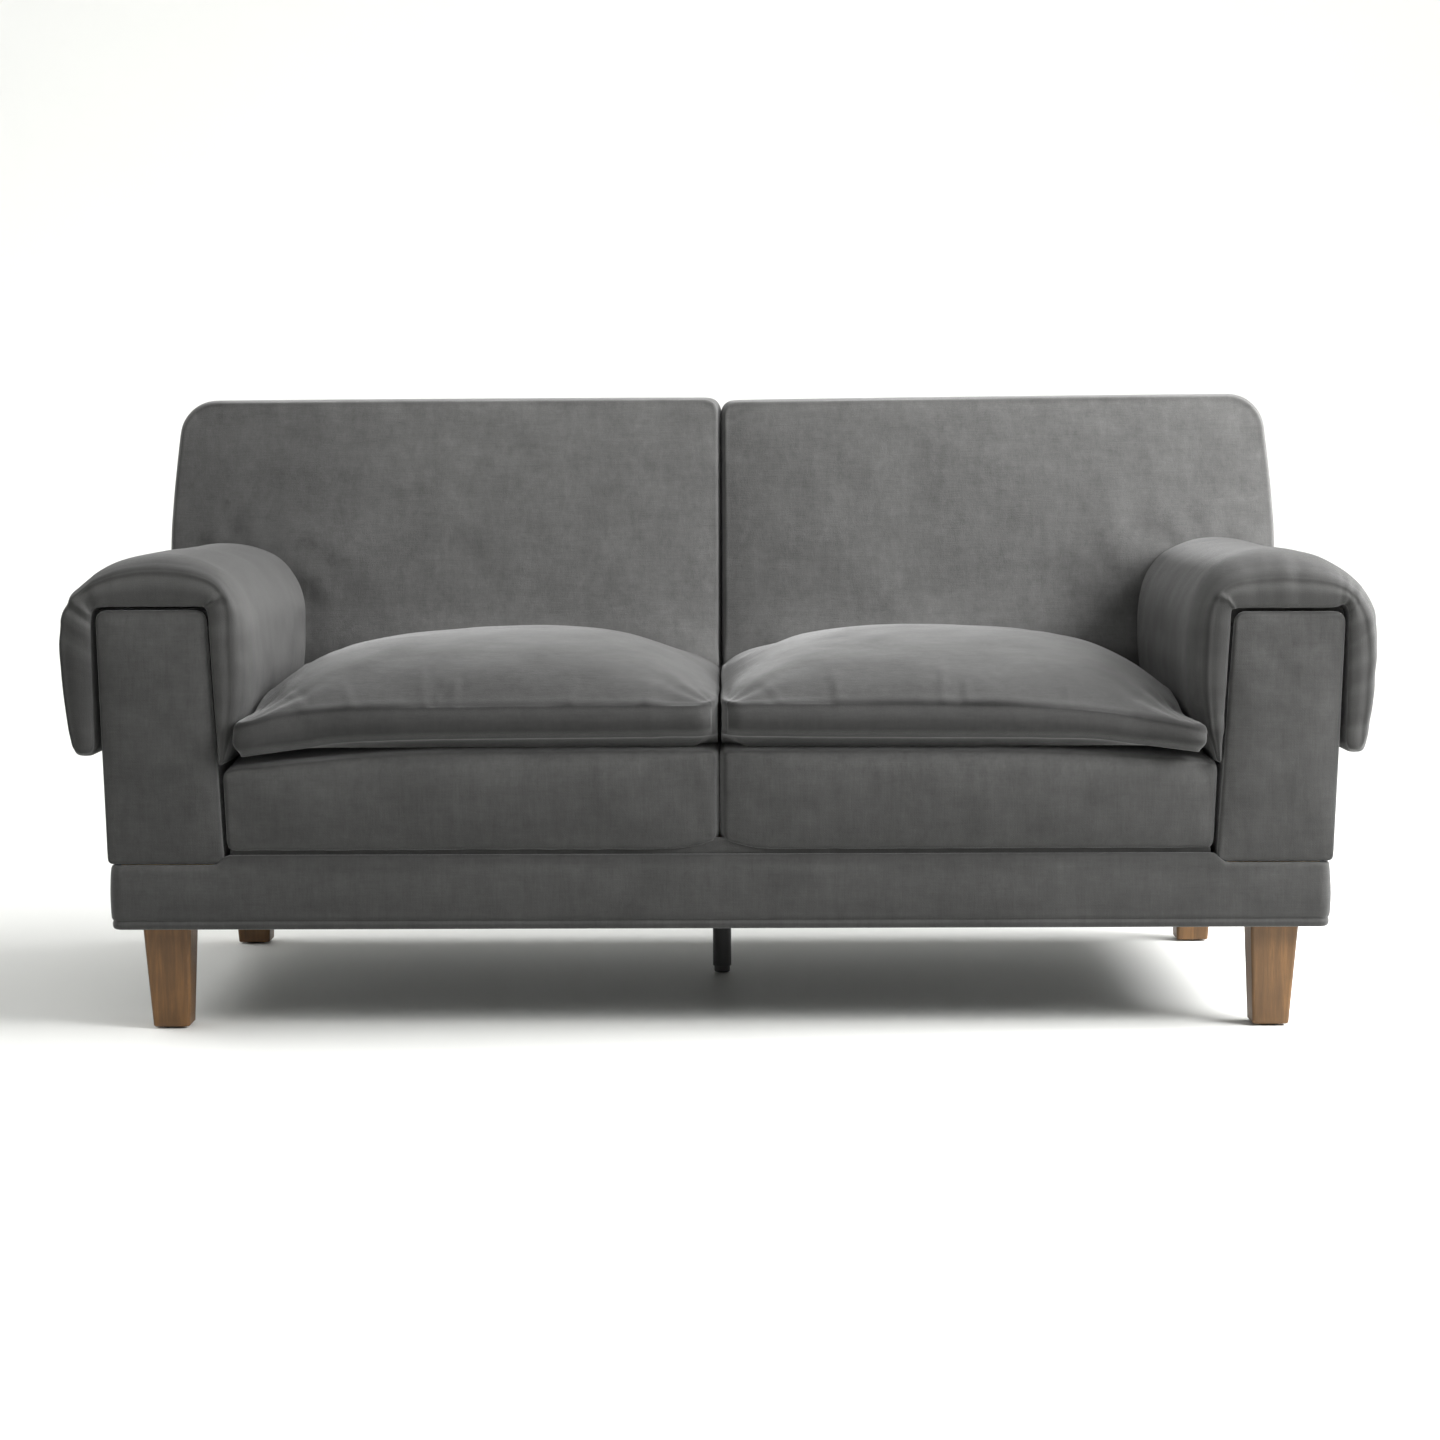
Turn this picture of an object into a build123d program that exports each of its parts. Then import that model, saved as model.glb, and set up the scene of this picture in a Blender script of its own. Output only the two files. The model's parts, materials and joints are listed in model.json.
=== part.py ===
from build123d import *
import math
import os

os.makedirs("parts", exist_ok=True)

# Two-seat sofa. Frame: X along the width, -Y the front, +Z up,
# origin on the floor under the middle of the overall box. Millimetres.

# ---------------------------------------------------------------- dimensions
DEPTH = 880.0          # overall depth
Y0 = -DEPTH / 2        # front plane; every depth d is measured back from it

GLIDE_H = 3.0          # plastic glide under a wooden leg
LEG_TOP_Z = 145.0      # top of the legs, against the steel plates
LEG_FOOT = 50.0        # square at the floor
LEG_HEAD = 66.0        # square at the top
LEG_X_FOOT = 758.0
LEG_X_HEAD = 761.0
LEG_ROUND = 5.0
LEG_D_FRONT = 61.0
LEG_D_REAR = 798.0

PLATE_T = 3.0
FRAME_Z0 = 148.0       # underside of the base rails
BASE_Z1 = 232.0        # top of the base
RAIL_T = 22.0
BASE_X = 833.0         # half width over the plinth cover
BASE_D = 859.0         # depth over the plinth cover
COVER_T = 14.0
PLINTH_Z0 = 142.5

TUBE_R = 14.0          # centre support leg
TUBE_WALL = 1.5
TUBE_D = 495.0
TUBE_Z0 = 10.0
FOOT_R = 12.0

DECK_Z0 = 254.0
DECK_Z1 = 388.0
DECK_X0 = 4.0
DECK_X1 = 669.0

CUSHION_Z0 = 389.5
CUSHION_TOP = 536.0
CUSHION_X1 = 633.0

LEAN_DEG = 13.0        # lean of the back's front face
BACK_D = 605.0         # depth of that face at BACK_Z
BACK_Z = 660.0
BACK_TOP = 875.0
BACK_X0 = 3.0
BACK_FOAM = 90.0
REAR_D0 = 859.0        # rear face at the base top
REAR_D1 = DEPTH + 0.95 # rear face at the top, above its rounded edge
REAR_SKIN = 6.0

ARM_Z0 = 235.0
ARM_Z1 = 582.0
ARM_IN0, ARM_IN1 = 677.0, 693.0      # inner face, bottom and top
ARM_OUT0, ARM_OUT1 = 831.0, 845.0    # outer face, bottom and top
ARM_SKIN = 14.0
ARM_FACE = 18.0
POST_X0, POST_X1 = 708.0, 814.0

PAD_ROOF = 584.5

LEAN = math.tan(math.radians(LEAN_DEG))
SIN, COS = math.sin(math.radians(LEAN_DEG)), math.cos(math.radians(LEAN_DEG))
SIDES = (("left", -1), ("right", 1))


def yy(d):
    return Y0 + d


def back_front(z):
    return BACK_D + LEAN * (z - BACK_Z)


def back_rear(z):
    return REAR_D0 + (REAR_D1 - REAR_D0) * (z - BASE_Z1) / (BACK_TOP - BASE_Z1)


def front_view(d):
    # sketch plane seen from the front at depth d: x to the right, y up
    return Plane(origin=(0, yy(d), 0), x_dir=(1, 0, 0), z_dir=(0, -1, 0))


# plane of the back's front face, its normal pointing to the front
BACK_PLANE = Plane(origin=(0, yy(BACK_D), BACK_Z), x_dir=(1, 0, 0), z_dir=(0, -COS, SIN))
# plane of the back's rear face, its normal pointing to the rear
_run = math.hypot(REAR_D1 - REAR_D0, BACK_TOP - BASE_Z1)
REAR_PLANE = Plane(
    origin=(0, yy(REAR_D0), BASE_Z1),
    x_dir=(1, 0, 0),
    z_dir=(0, (BACK_TOP - BASE_Z1) / _run, -(REAR_D1 - REAR_D0) / _run),
)

LEG_SPOTS = [(s * LEG_X_HEAD, yy(d)) for d in (LEG_D_FRONT, LEG_D_REAR) for s in (-1, 1)]
FOOT_SPOTS = [(s * LEG_X_FOOT, yy(d)) for d in (LEG_D_FRONT, LEG_D_REAR) for s in (-1, 1)]
PLATE_SCREWS = [(x + dx, y + dy) for x, y in LEG_SPOTS for dx in (-20, 20) for dy in (-20, 20)]
FLANGE_SCREWS = [(0, yy(TUBE_D - 30)), (0, yy(TUBE_D + 30))]

# ---------------------------------------------------------------- wooden legs
for end, d_mid in (("front", LEG_D_FRONT), ("rear", LEG_D_REAR)):
    for side, s in SIDES:
        with BuildPart() as leg:
            with BuildSketch(Plane.XY.offset(GLIDE_H)):
                with Locations((s * LEG_X_FOOT, yy(d_mid))):
                    Rectangle(LEG_FOOT, LEG_FOOT)
            with BuildSketch(Plane.XY.offset(LEG_TOP_Z)):
                with Locations((s * LEG_X_HEAD, yy(d_mid))):
                    Rectangle(LEG_HEAD, LEG_HEAD)
            loft()
            fillet(leg.edges().filter_by(lambda e: e.length > 100), LEG_ROUND)
            chamfer(leg.faces().sort_by(Axis.Z)[0].edges(), 1.5)
            # blind hole for the hanger bolt, from the top
            with Locations((s * LEG_X_HEAD, yy(d_mid), LEG_TOP_Z)):
                Hole(radius=4.3, depth=46)
            # blind hole for the nail of the glide, from below
            with Locations(Location((s * LEG_X_FOOT, yy(d_mid), GLIDE_H), (180, 0, 0))):
                Hole(radius=1.8, depth=14)
        leg.part.label = f"leg_{end}_{side}"
        export_step(leg.part, f"parts/leg_{end}_{side}.step")

with BuildPart() as leg_glides:
    with BuildSketch(Plane.XY):
        with Locations(*FOOT_SPOTS):
            Circle(17)
    extrude(amount=GLIDE_H)
    chamfer(leg_glides.faces().sort_by(Axis.Z)[:4].edges(), 0.8)
    with BuildSketch(Plane.XY.offset(GLIDE_H)):
        with Locations(*FOOT_SPOTS):
            Circle(1.5)
    extrude(amount=12)
leg_glides.part.label = "leg_glides"
export_step(leg_glides.part, "parts/leg_glides.step")

with BuildPart() as leg_hanger_bolts:
    with BuildSketch(Plane.XY.offset(LEG_TOP_Z - 43)):
        with Locations(*LEG_SPOTS):
            Circle(4)
    extrude(amount=88)
    chamfer(leg_hanger_bolts.edges().filter_by(GeomType.CIRCLE), 1)
leg_hanger_bolts.part.label = "leg_hanger_bolts"
export_step(leg_hanger_bolts.part, "parts/leg_hanger_bolts.step")

with BuildPart() as leg_mounting_plates:
    with BuildSketch(Plane.XY.offset(LEG_TOP_Z)):
        with Locations(*LEG_SPOTS):
            RectangleRounded(60, 60, 6)
    extrude(amount=PLATE_T)
    with Locations(*[(x, y, LEG_TOP_Z + PLATE_T) for x, y in LEG_SPOTS]):
        Hole(radius=4.4, depth=PLATE_T)
    with Locations(*[Location((x, y, LEG_TOP_Z), (180, 0, 0)) for x, y in PLATE_SCREWS]):
        CounterSinkHole(radius=2.2, counter_sink_radius=4.4, depth=PLATE_T, counter_sink_angle=90)
leg_mounting_plates.part.label = "leg_mounting_plates"
export_step(leg_mounting_plates.part, "parts/leg_mounting_plates.step")

with BuildPart() as leg_plate_screws:
    with Locations(*[(x, y, LEG_TOP_Z + 0.2) for x, y in PLATE_SCREWS + FLANGE_SCREWS]):
        Cone(bottom_radius=4.1, top_radius=2.0, height=2.1, align=(Align.CENTER, Align.CENTER, Align.MIN))
    with Locations(*[(x, y, LEG_TOP_Z + 2.3) for x, y in PLATE_SCREWS + FLANGE_SCREWS]):
        Cylinder(radius=2.0, height=24, align=(Align.CENTER, Align.CENTER, Align.MIN))
leg_plate_screws.part.label = "leg_plate_screws"
export_step(leg_plate_screws.part, "parts/leg_plate_screws.step")

# ---------------------------------------------------------------- centre support leg
with BuildPart() as center_support_leg:
    with BuildSketch(Plane.XY.offset(TUBE_Z0)):
        with Locations((0, yy(TUBE_D))):
            Circle(TUBE_R)
            Circle(TUBE_R - TUBE_WALL, mode=Mode.SUBTRACT)
    extrude(amount=LEG_TOP_Z - TUBE_Z0)
    chamfer(center_support_leg.faces().sort_by(Axis.Z)[0].outer_wire().edges(), 0.8)
center_support_leg.part.label = "center_support_leg"
export_step(center_support_leg.part, "parts/center_support_leg.step")

with BuildPart() as center_leg_flange:
    with BuildSketch(Plane.XY.offset(LEG_TOP_Z)):
        with Locations((0, yy(TUBE_D))):
            RectangleRounded(32, 78, 6)
    extrude(amount=PLATE_T)
    with Locations(*[Location((x, y, LEG_TOP_Z), (180, 0, 0)) for x, y in FLANGE_SCREWS]):
        CounterSinkHole(radius=2.2, counter_sink_radius=4.4, depth=PLATE_T, counter_sink_angle=90)
center_leg_flange.part.label = "center_leg_flange"
export_step(center_leg_flange.part, "parts/center_leg_flange.step")

with BuildPart() as center_leg_nut:
    with BuildSketch(Plane.XY.offset(36)):
        with Locations((0, yy(TUBE_D))):
            Circle(TUBE_R - TUBE_WALL - 0.05)
            Circle(4.5, mode=Mode.SUBTRACT)
    extrude(amount=8)
center_leg_nut.part.label = "center_leg_nut"
export_step(center_leg_nut.part, "parts/center_leg_nut.step")

with BuildPart() as center_leg_foot:
    with BuildSketch(Plane.XY.offset(0.5)):
        with Locations((0, yy(TUBE_D))):
            Circle(FOOT_R)
    extrude(amount=14)
    fillet(center_leg_foot.faces().sort_by(Axis.Z)[0].edges(), 2.5)
    with BuildSketch(Plane.XY.offset(14.5)):
        with Locations((0, yy(TUBE_D))):
            Circle(4)
    extrude(amount=52)
    chamfer(center_leg_foot.faces().sort_by(Axis.Z)[-1].edges(), 1)
center_leg_foot.part.label = "center_leg_foot"
export_step(center_leg_foot.part, "parts/center_leg_foot.step")

# ---------------------------------------------------------------- base frame
RAIL_H = BASE_Z1 - FRAME_Z0
IN_X = BASE_X - 15 - RAIL_T          # inner face of the side rails
OUT_X = BASE_X - 15                  # outer face of the rails
IN_D0 = COVER_T + RAIL_T             # inner face of the front rail
IN_D1 = BASE_D - COVER_T - RAIL_T    # inner face of the rear rail

for rail_name, d0 in (("base_front_rail", COVER_T), ("base_rear_rail", IN_D1)):
    with BuildPart() as base_rail:
        with BuildSketch(Plane.XY.offset(FRAME_Z0)):
            with Locations((0, yy(d0 + RAIL_T / 2))):
                Rectangle(2 * OUT_X, RAIL_T)
        extrude(amount=RAIL_H)
    base_rail.part.label = rail_name
    export_step(base_rail.part, f"parts/{rail_name}.step")

ARM_BOLT_X = 807.0
ARM_BOLT_D = (120.0, 380.0)
BACK_BOLT_X = (200.0, 620.0)
BACK_BOLT_D = 630.0

for side, s in SIDES:
    with BuildPart() as base_side_rail:
        with BuildSketch(Plane.XY.offset(FRAME_Z0)):
            with Locations((s * (IN_X + OUT_X) / 2, yy((IN_D0 + IN_D1) / 2))):
                Rectangle(RAIL_T, IN_D1 - IN_D0)
        extrude(amount=RAIL_H)
        with Locations(*[(s * ARM_BOLT_X, yy(d), BASE_Z1) for d in ARM_BOLT_D]):
            Hole(radius=4.3, depth=60)
    base_side_rail.part.label = f"base_side_rail_{side}"
    export_step(base_side_rail.part, f"parts/base_side_rail_{side}.step")

with BuildPart() as base_center_rail:
    with BuildSketch(Plane.XY.offset(FRAME_Z0)):
        with Locations((0, yy((IN_D0 + IN_D1) / 2))):
            Rectangle(RAIL_T, IN_D1 - IN_D0)
    extrude(amount=RAIL_H)
    with Locations(*[Location((x, y, FRAME_Z0), (180, 0, 0)) for x, y in FLANGE_SCREWS]):
        Hole(radius=2.2, depth=26)
base_center_rail.part.label = "base_center_rail"
export_step(base_center_rail.part, "parts/base_center_rail.step")

with BuildPart() as base_cross_rails:
    with BuildSketch(Plane.XY.offset(FRAME_Z0)):
        for s in (-1, 1):
            x_mid = s * (RAIL_T / 2 + IN_X) / 2
            with Locations((x_mid, yy(495))):
                Rectangle(IN_X - RAIL_T / 2, 22)
            with Locations((x_mid, yy(BACK_BOLT_D))):
                Rectangle(IN_X - RAIL_T / 2, 44)
    extrude(amount=RAIL_H)
    with Locations(*[(s * x, yy(BACK_BOLT_D), BASE_Z1) for s in (-1, 1) for x in BACK_BOLT_X]):
        Hole(radius=4.3, depth=60)
base_cross_rails.part.label = "base_cross_rails"
export_step(base_cross_rails.part, "parts/base_cross_rails.step")

with BuildPart() as base_corner_blocks:
    with BuildSketch(Plane.XY.offset(FRAME_Z0)):
        for s in (-1, 1):
            for d0, d_in in ((IN_D0, 1), (IN_D1, -1)):
                with BuildLine():
                    Polyline(
                        (s * IN_X, yy(d0)),
                        (s * (IN_X - 80), yy(d0)),
                        (s * (IN_X - 80), yy(d0 + d_in * 55)),
                        (s * (IN_X - 55), yy(d0 + d_in * 80)),
                        (s * IN_X, yy(d0 + d_in * 80)),
                        close=True,
                    )
                make_face()
    extrude(amount=60)
    with Locations(*[(x, y, FRAME_Z0 + 60) for x, y in LEG_SPOTS]):
        Hole(radius=4.4, depth=60)
    with Locations(*[Location((x, y, FRAME_Z0), (180, 0, 0)) for x, y in PLATE_SCREWS]):
        Hole(radius=2.2, depth=26)
base_corner_blocks.part.label = "base_corner_blocks"
export_step(base_corner_blocks.part, "parts/base_corner_blocks.step")

# ---------------------------------------------------------------- plinth cover and dust cover
with BuildPart() as base_cover_front:
    with BuildSketch(front_view(0)):
        with BuildLine():
            Polyline((-BASE_X, PLINTH_Z0), (BASE_X, PLINTH_Z0), (BASE_X, BASE_Z1), (-BASE_X, BASE_Z1), close=True)
        face = make_face()
        fillet(face.vertices().group_by(Axis.Y)[0], 8)
    extrude(amount=-COVER_T)
    fillet(base_cover_front.faces().sort_by(Axis.Y)[0].edges(), 5)
base_cover_front.part.label = "base_cover_front"
export_step(base_cover_front.part, "parts/base_cover_front.step")

with BuildPart() as base_cover_rear:
    with BuildSketch(front_view(BASE_D - COVER_T)):
        with BuildLine():
            Polyline((-BASE_X, PLINTH_Z0), (BASE_X, PLINTH_Z0), (BASE_X, BASE_Z1), (-BASE_X, BASE_Z1), close=True)
        face = make_face()
        fillet(face.vertices().group_by(Axis.Y)[0], 8)
    extrude(amount=-COVER_T)
    fillet(base_cover_rear.faces().sort_by(Axis.Y)[-1].edges(), 5)
base_cover_rear.part.label = "base_cover_rear"
export_step(base_cover_rear.part, "parts/base_cover_rear.step")

for side, s in SIDES:
    with BuildPart() as base_cover_side:
        with BuildSketch(Plane.XY.offset(PLINTH_Z0)):
            with Locations((s * (OUT_X + BASE_X) / 2, yy(BASE_D / 2))):
                Rectangle(BASE_X - OUT_X, BASE_D - 2 * COVER_T)
        extrude(amount=BASE_Z1 - PLINTH_Z0)
    base_cover_side.part.label = f"base_cover_{side}"
    export_step(base_cover_side.part, f"parts/base_cover_{side}.step")

with BuildPart() as dust_cover:
    with BuildSketch(Plane.XY.offset(FRAME_Z0 - 1.5)):
        with Locations((0, yy(BASE_D / 2))):
            Rectangle(2 * OUT_X - 2, BASE_D - 2 * COVER_T - 2)
        with Locations(*LEG_SPOTS):
            RectangleRounded(62, 62, 7, mode=Mode.SUBTRACT)
        with Locations((0, yy(TUBE_D))):
            RectangleRounded(34, 80, 7, mode=Mode.SUBTRACT)
    extrude(amount=1.5)
dust_cover.part.label = "dust_cover"
export_step(dust_cover.part, "parts/dust_cover.step")

# ---------------------------------------------------------------- seat frames, springs, clips
SF_X0, SF_X1 = 4.0, 668.0
SF_D0, SF_D1 = 16.0, 505.0
WIRE_Z = 243.0
WIRE_R = 1.9
WIRE_D0, WIRE_D1 = 43.0, 478.0
HALF_WAVES = 15
SPRING_X = [26 + 62 + k * 124 for k in range(5)]

for side, s in SIDES:
    with BuildPart() as seat_frame:
        with BuildSketch(Plane.XY.offset(BASE_Z1)):
            for d_mid in (SF_D0 + 11, SF_D1 - 11):
                with Locations((s * (SF_X0 + SF_X1) / 2, yy(d_mid))):
                    Rectangle(SF_X1 - SF_X0, 22)
        extrude(amount=DECK_Z0 - BASE_Z1)
    with BuildPart() as seat_frame_sides:
        with BuildSketch(Plane.XY.offset(BASE_Z1)):
            for x_mid in (SF_X0 + 11, SF_X1 - 11):
                with Locations((s * x_mid, yy((SF_D0 + SF_D1) / 2))):
                    Rectangle(22, SF_D1 - SF_D0 - 44)
        extrude(amount=DECK_Z0 - BASE_Z1)
    frame_group = Compound(children=[*seat_frame.part.solids(), *seat_frame_sides.part.solids()])
    frame_group.label = f"seat_frame_{side}"
    export_step(frame_group, f"parts/seat_frame_{side}.step")

    with BuildPart() as seat_springs:
        for x0 in SPRING_X:
            pitch = (WIRE_D1 - WIRE_D0) / HALF_WAVES
            pts = []
            sign = -1
            for k in range(HALF_WAVES + 1):
                d = WIRE_D0 + k * pitch
                pts.append((s * x0 + sign * 24, yy(d), WIRE_Z))
                pts.append((s * x0 - sign * 24, yy(d), WIRE_Z))
                sign = -sign
            with BuildLine() as wire:
                FilletPolyline(*pts, radius=11)
            start = Plane(origin=wire.line @ 0, z_dir=wire.line % 0)
            with BuildSketch(start):
                Circle(WIRE_R)
            sweep(path=wire.line)
    seat_springs.part.label = f"seat_springs_{side}"
    export_step(seat_springs.part, f"parts/seat_springs_{side}.step")

with BuildPart() as spring_clips:
    with BuildSketch(Plane.XY.offset(WIRE_Z - 5)):
        for s in (-1, 1):
            for x0 in SPRING_X:
                with Locations((s * x0, yy(WIRE_D0 - 0.7)), (s * x0, yy(WIRE_D1 + 0.7))):
                    Rectangle(18, 8.5)
    extrude(amount=10)
    for s in (-1, 1):
        for x0 in SPRING_X:
            for d in (WIRE_D0, WIRE_D1):
                with Locations(Location((s * x0, yy(d), WIRE_Z), (0, 90, 0))):
                    Cylinder(radius=WIRE_R + 0.2, height=20, mode=Mode.SUBTRACT)
spring_clips.part.label = "spring_clips"
export_step(spring_clips.part, "parts/spring_clips.step")

with BuildPart() as seat_front_band:
    with BuildSketch(Plane.XY.offset(BASE_Z1)):
        with Locations((0, yy(12.5))):
            Rectangle(2 * SF_X1, 6)
    extrude(amount=DECK_Z0 - BASE_Z1)
seat_front_band.part.label = "seat_front_band"
export_step(seat_front_band.part, "parts/seat_front_band.step")

# ---------------------------------------------------------------- seat decks
for side, s in SIDES:
    with BuildPart() as seat_deck:
        with BuildSketch(front_view(6)):
            with Locations((s * (DECK_X0 + DECK_X1) / 2, (DECK_Z0 + DECK_Z1) / 2)):
                RectangleRounded(DECK_X1 - DECK_X0, DECK_Z1 - DECK_Z0, 12)
        extrude(amount=-620)
        fillet(seat_deck.faces().sort_by(Axis.Y)[0].edges(), 9)
        split(bisect_by=BACK_PLANE.offset(1.5), keep=Keep.TOP)
    seat_deck.part.label = f"seat_deck_{side}"
    export_step(seat_deck.part, f"parts/seat_deck_{side}.step")

# ---------------------------------------------------------------- loose seat cushions
for side, s in SIDES:
    with BuildPart() as seat_cushion:
        # side profile: boxed front edge, crowned top
        x_low = min(s * 4.0, s * CUSHION_X1)
        with BuildSketch(Plane.YZ.offset(x_low)):
            with BuildLine():
                Polyline(
                    (yy(14), CUSHION_Z0), (yy(3), 400), (yy(1), 430), (yy(3), 457),
                    (yy(30), 485), (yy(80), 512), (yy(160), 530), (yy(270), CUSHION_TOP),
                    (yy(400), 531), (yy(520), 515), (yy(640), 500), (yy(640), CUSHION_Z0),
                    close=True,
                )
            make_face()
        extrude(amount=CUSHION_X1 - 4.0)
        # front profile: the crown falls to both sides
        with BuildSketch(front_view(-20)):
            with BuildLine():
                Polyline(
                    (s * 14, CUSHION_Z0 - 1), (s * 4, 402), (s * 4, 462), (s * 30, 492),
                    (s * 90, 518), (s * 180, 533), (s * 290, 538), (s * 400, 534),
                    (s * 500, 520), (s * 580, 496), (s * 618, 474), (s * CUSHION_X1, 455),
                    (s * CUSHION_X1, 402), (s * 623, CUSHION_Z0 - 1),
                    close=True,
                )
            make_face()
        extrude(amount=-700, mode=Mode.INTERSECT)
        split(bisect_by=BACK_PLANE.offset(2.0), keep=Keep.TOP)
    seat_cushion.part.label = f"seat_cushion_{side}"
    export_step(seat_cushion.part, f"parts/seat_cushion_{side}.step")

# ---------------------------------------------------------------- arms


def lean_in(z):
    return ARM_IN0 + (ARM_IN1 - ARM_IN0) * (z - ARM_Z0) / (ARM_Z1 - ARM_Z0)


def lean_out(z):
    return ARM_OUT0 + (ARM_OUT1 - ARM_OUT0) * (z - ARM_Z0) / (ARM_Z1 - ARM_Z0)


SEAM_Z = 556.0
for side, s in SIDES:
    with BuildPart() as arm_posts:
        with BuildSketch(Plane.XY.offset(262)):
            with Locations((s * (POST_X0 + POST_X1) / 2, yy(32.5)), (s * (POST_X0 + POST_X1) / 2, yy(452.5))):
                Rectangle(POST_X1 - POST_X0, 25)
        extrude(amount=532 - 262)
    arm_posts.part.label = f"arm_posts_{side}"
    export_step(arm_posts.part, f"parts/arm_posts_{side}.step")

    with BuildPart() as arm_rails:
        with BuildSketch(Plane.XY.offset(BASE_Z1)):
            with Locations((s * (771 + POST_X1) / 2, yy(242.5))):
                Rectangle(POST_X1 - 771, 445)
        extrude(amount=30)
        with Locations(*[(s * ARM_BOLT_X, yy(d), BASE_Z1 + 30) for d in ARM_BOLT_D]):
            Hole(radius=4.3, depth=30)
        with BuildSketch(Plane.XY.offset(532)):
            with Locations((s * (POST_X0 + POST_X1) / 2, yy(260))):
                Rectangle(POST_X1 - POST_X0, 480)
        extrude(amount=22)
    arm_rails.part.label = f"arm_rails_{side}"
    export_step(arm_rails.part, f"parts/arm_rails_{side}.step")

    with BuildPart() as arm_front_panel:
        with BuildSketch(front_view(0)):
            with BuildLine():
                Polyline(
                    (s * ARM_IN0, ARM_Z0), (s * ARM_OUT0, ARM_Z0),
                    (s * ARM_OUT1, ARM_Z1), (s * ARM_IN1, ARM_Z1), close=True,
                )
            face = make_face()
            fillet(face.vertices().group_by(Axis.Y)[-1], 15)
        extrude(amount=-ARM_FACE)
        fillet(arm_front_panel.faces().sort_by(Axis.Y)[0].edges(), 6)
    arm_front_panel.part.label = f"arm_front_panel_{side}"
    export_step(arm_front_panel.part, f"parts/arm_front_panel_{side}.step")

    with BuildPart() as arm_outer_panel:
        with BuildSketch(front_view(ARM_FACE)):
            with BuildLine():
                Polyline(
                    (s * (ARM_OUT0 - ARM_SKIN), ARM_Z0), (s * ARM_OUT0, ARM_Z0),
                    (s * lean_out(SEAM_Z), SEAM_Z), (s * (lean_out(SEAM_Z) - ARM_SKIN), SEAM_Z), close=True,
                )
            make_face()
        extrude(amount=-620)
        split(bisect_by=BACK_PLANE.offset(1.5), keep=Keep.TOP)
    arm_outer_panel.part.label = f"arm_outer_panel_{side}"
    export_step(arm_outer_panel.part, f"parts/arm_outer_panel_{side}.step")

    with BuildPart() as arm_inner_panel:
        with BuildSketch(front_view(ARM_FACE)):
            with BuildLine():
                Polyline(
                    (s * ARM_IN0, ARM_Z0), (s * (ARM_IN0 + ARM_SKIN), ARM_Z0),
                    (s * (lean_in(SEAM_Z) + ARM_SKIN), SEAM_Z), (s * lean_in(SEAM_Z), SEAM_Z), close=True,
                )
            make_face()
        extrude(amount=-620)
        split(bisect_by=BACK_PLANE.offset(1.5), keep=Keep.TOP)
    arm_inner_panel.part.label = f"arm_inner_panel_{side}"
    export_step(arm_inner_panel.part, f"parts/arm_inner_panel_{side}.step")

    with BuildPart() as arm_top_padding:
        with BuildSketch(front_view(ARM_FACE)):
            with BuildLine():
                Polyline(
                    (s * lean_in(SEAM_Z), SEAM_Z), (s * lean_out(SEAM_Z), SEAM_Z),
                    (s * ARM_OUT1, ARM_Z1), (s * ARM_IN1, ARM_Z1), close=True,
                )
            face = make_face()
            fillet(face.vertices().group_by(Axis.Y)[-1], 15)
        extrude(amount=-620)
        split(bisect_by=BACK_PLANE.offset(1.5), keep=Keep.TOP)
    arm_top_padding.part.label = f"arm_top_padding_{side}"
    export_step(arm_top_padding.part, f"parts/arm_top_padding_{side}.step")

with BuildPart() as arm_grip_strips:
    with BuildSketch(Plane.XY.offset(ARM_Z1)):
        for s in (-1, 1):
            with Locations((s * 743, yy(280)), (s * 795, yy(280))):
                Rectangle(20, 440)
    extrude(amount=2)
arm_grip_strips.part.label = "arm_grip_strips"
export_step(arm_grip_strips.part, "parts/arm_grip_strips.step")

# saddle-shaped arm pads: short inner flap, roof, long outer flap
for side, s in SIDES:
    outline = [
        (682.5, 398), (690.3, 560), (690.3, 574), (700, PAD_ROOF), (838, PAD_ROOF),
        (847.4, 574), (847.4, 400), (851, 389), (858, 383), (867, 383), (874.5, 389),
        (878, 400), (886, 430), (893, 470), (897, 515), (898.5, 555), (895.5, 585),
        (886, 609), (871, 628), (850, 641), (820, 649), (780, 653), (740, 652.5),
        (705, 646), (680, 634), (662, 617), (649, 596), (640.5, 570), (637, 540),
        (636, 500), (636.5, 460), (641, 436), (651, 416), (662, 404), (671, 398),
    ]
    with BuildPart() as arm_pad:
        with BuildSketch(front_view(0)):
            with BuildLine():
                Polyline(*[(s * x, z) for x, z in outline], close=True)
            make_face()
        extrude(amount=-620)
        split(bisect_by=BACK_PLANE.offset(3.0), keep=Keep.TOP)
    arm_pad.part.label = f"arm_pad_{side}"
    export_step(arm_pad.part, f"parts/arm_pad_{side}.step")

# ---------------------------------------------------------------- backs
CAV_X0, CAV_X1 = 18.0, 812.0
CAV_TOP = 845.0


def side_strip(offset0, offset1, z0, z1):
    # parallelogram in the side view, leaning with the back's front face
    return [
        (yy(back_front(z0) + offset0), z0), (yy(back_front(z1) + offset0), z1),
        (yy(back_front(z1) + offset1), z1), (yy(back_front(z0) + offset1), z0),
    ]


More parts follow.
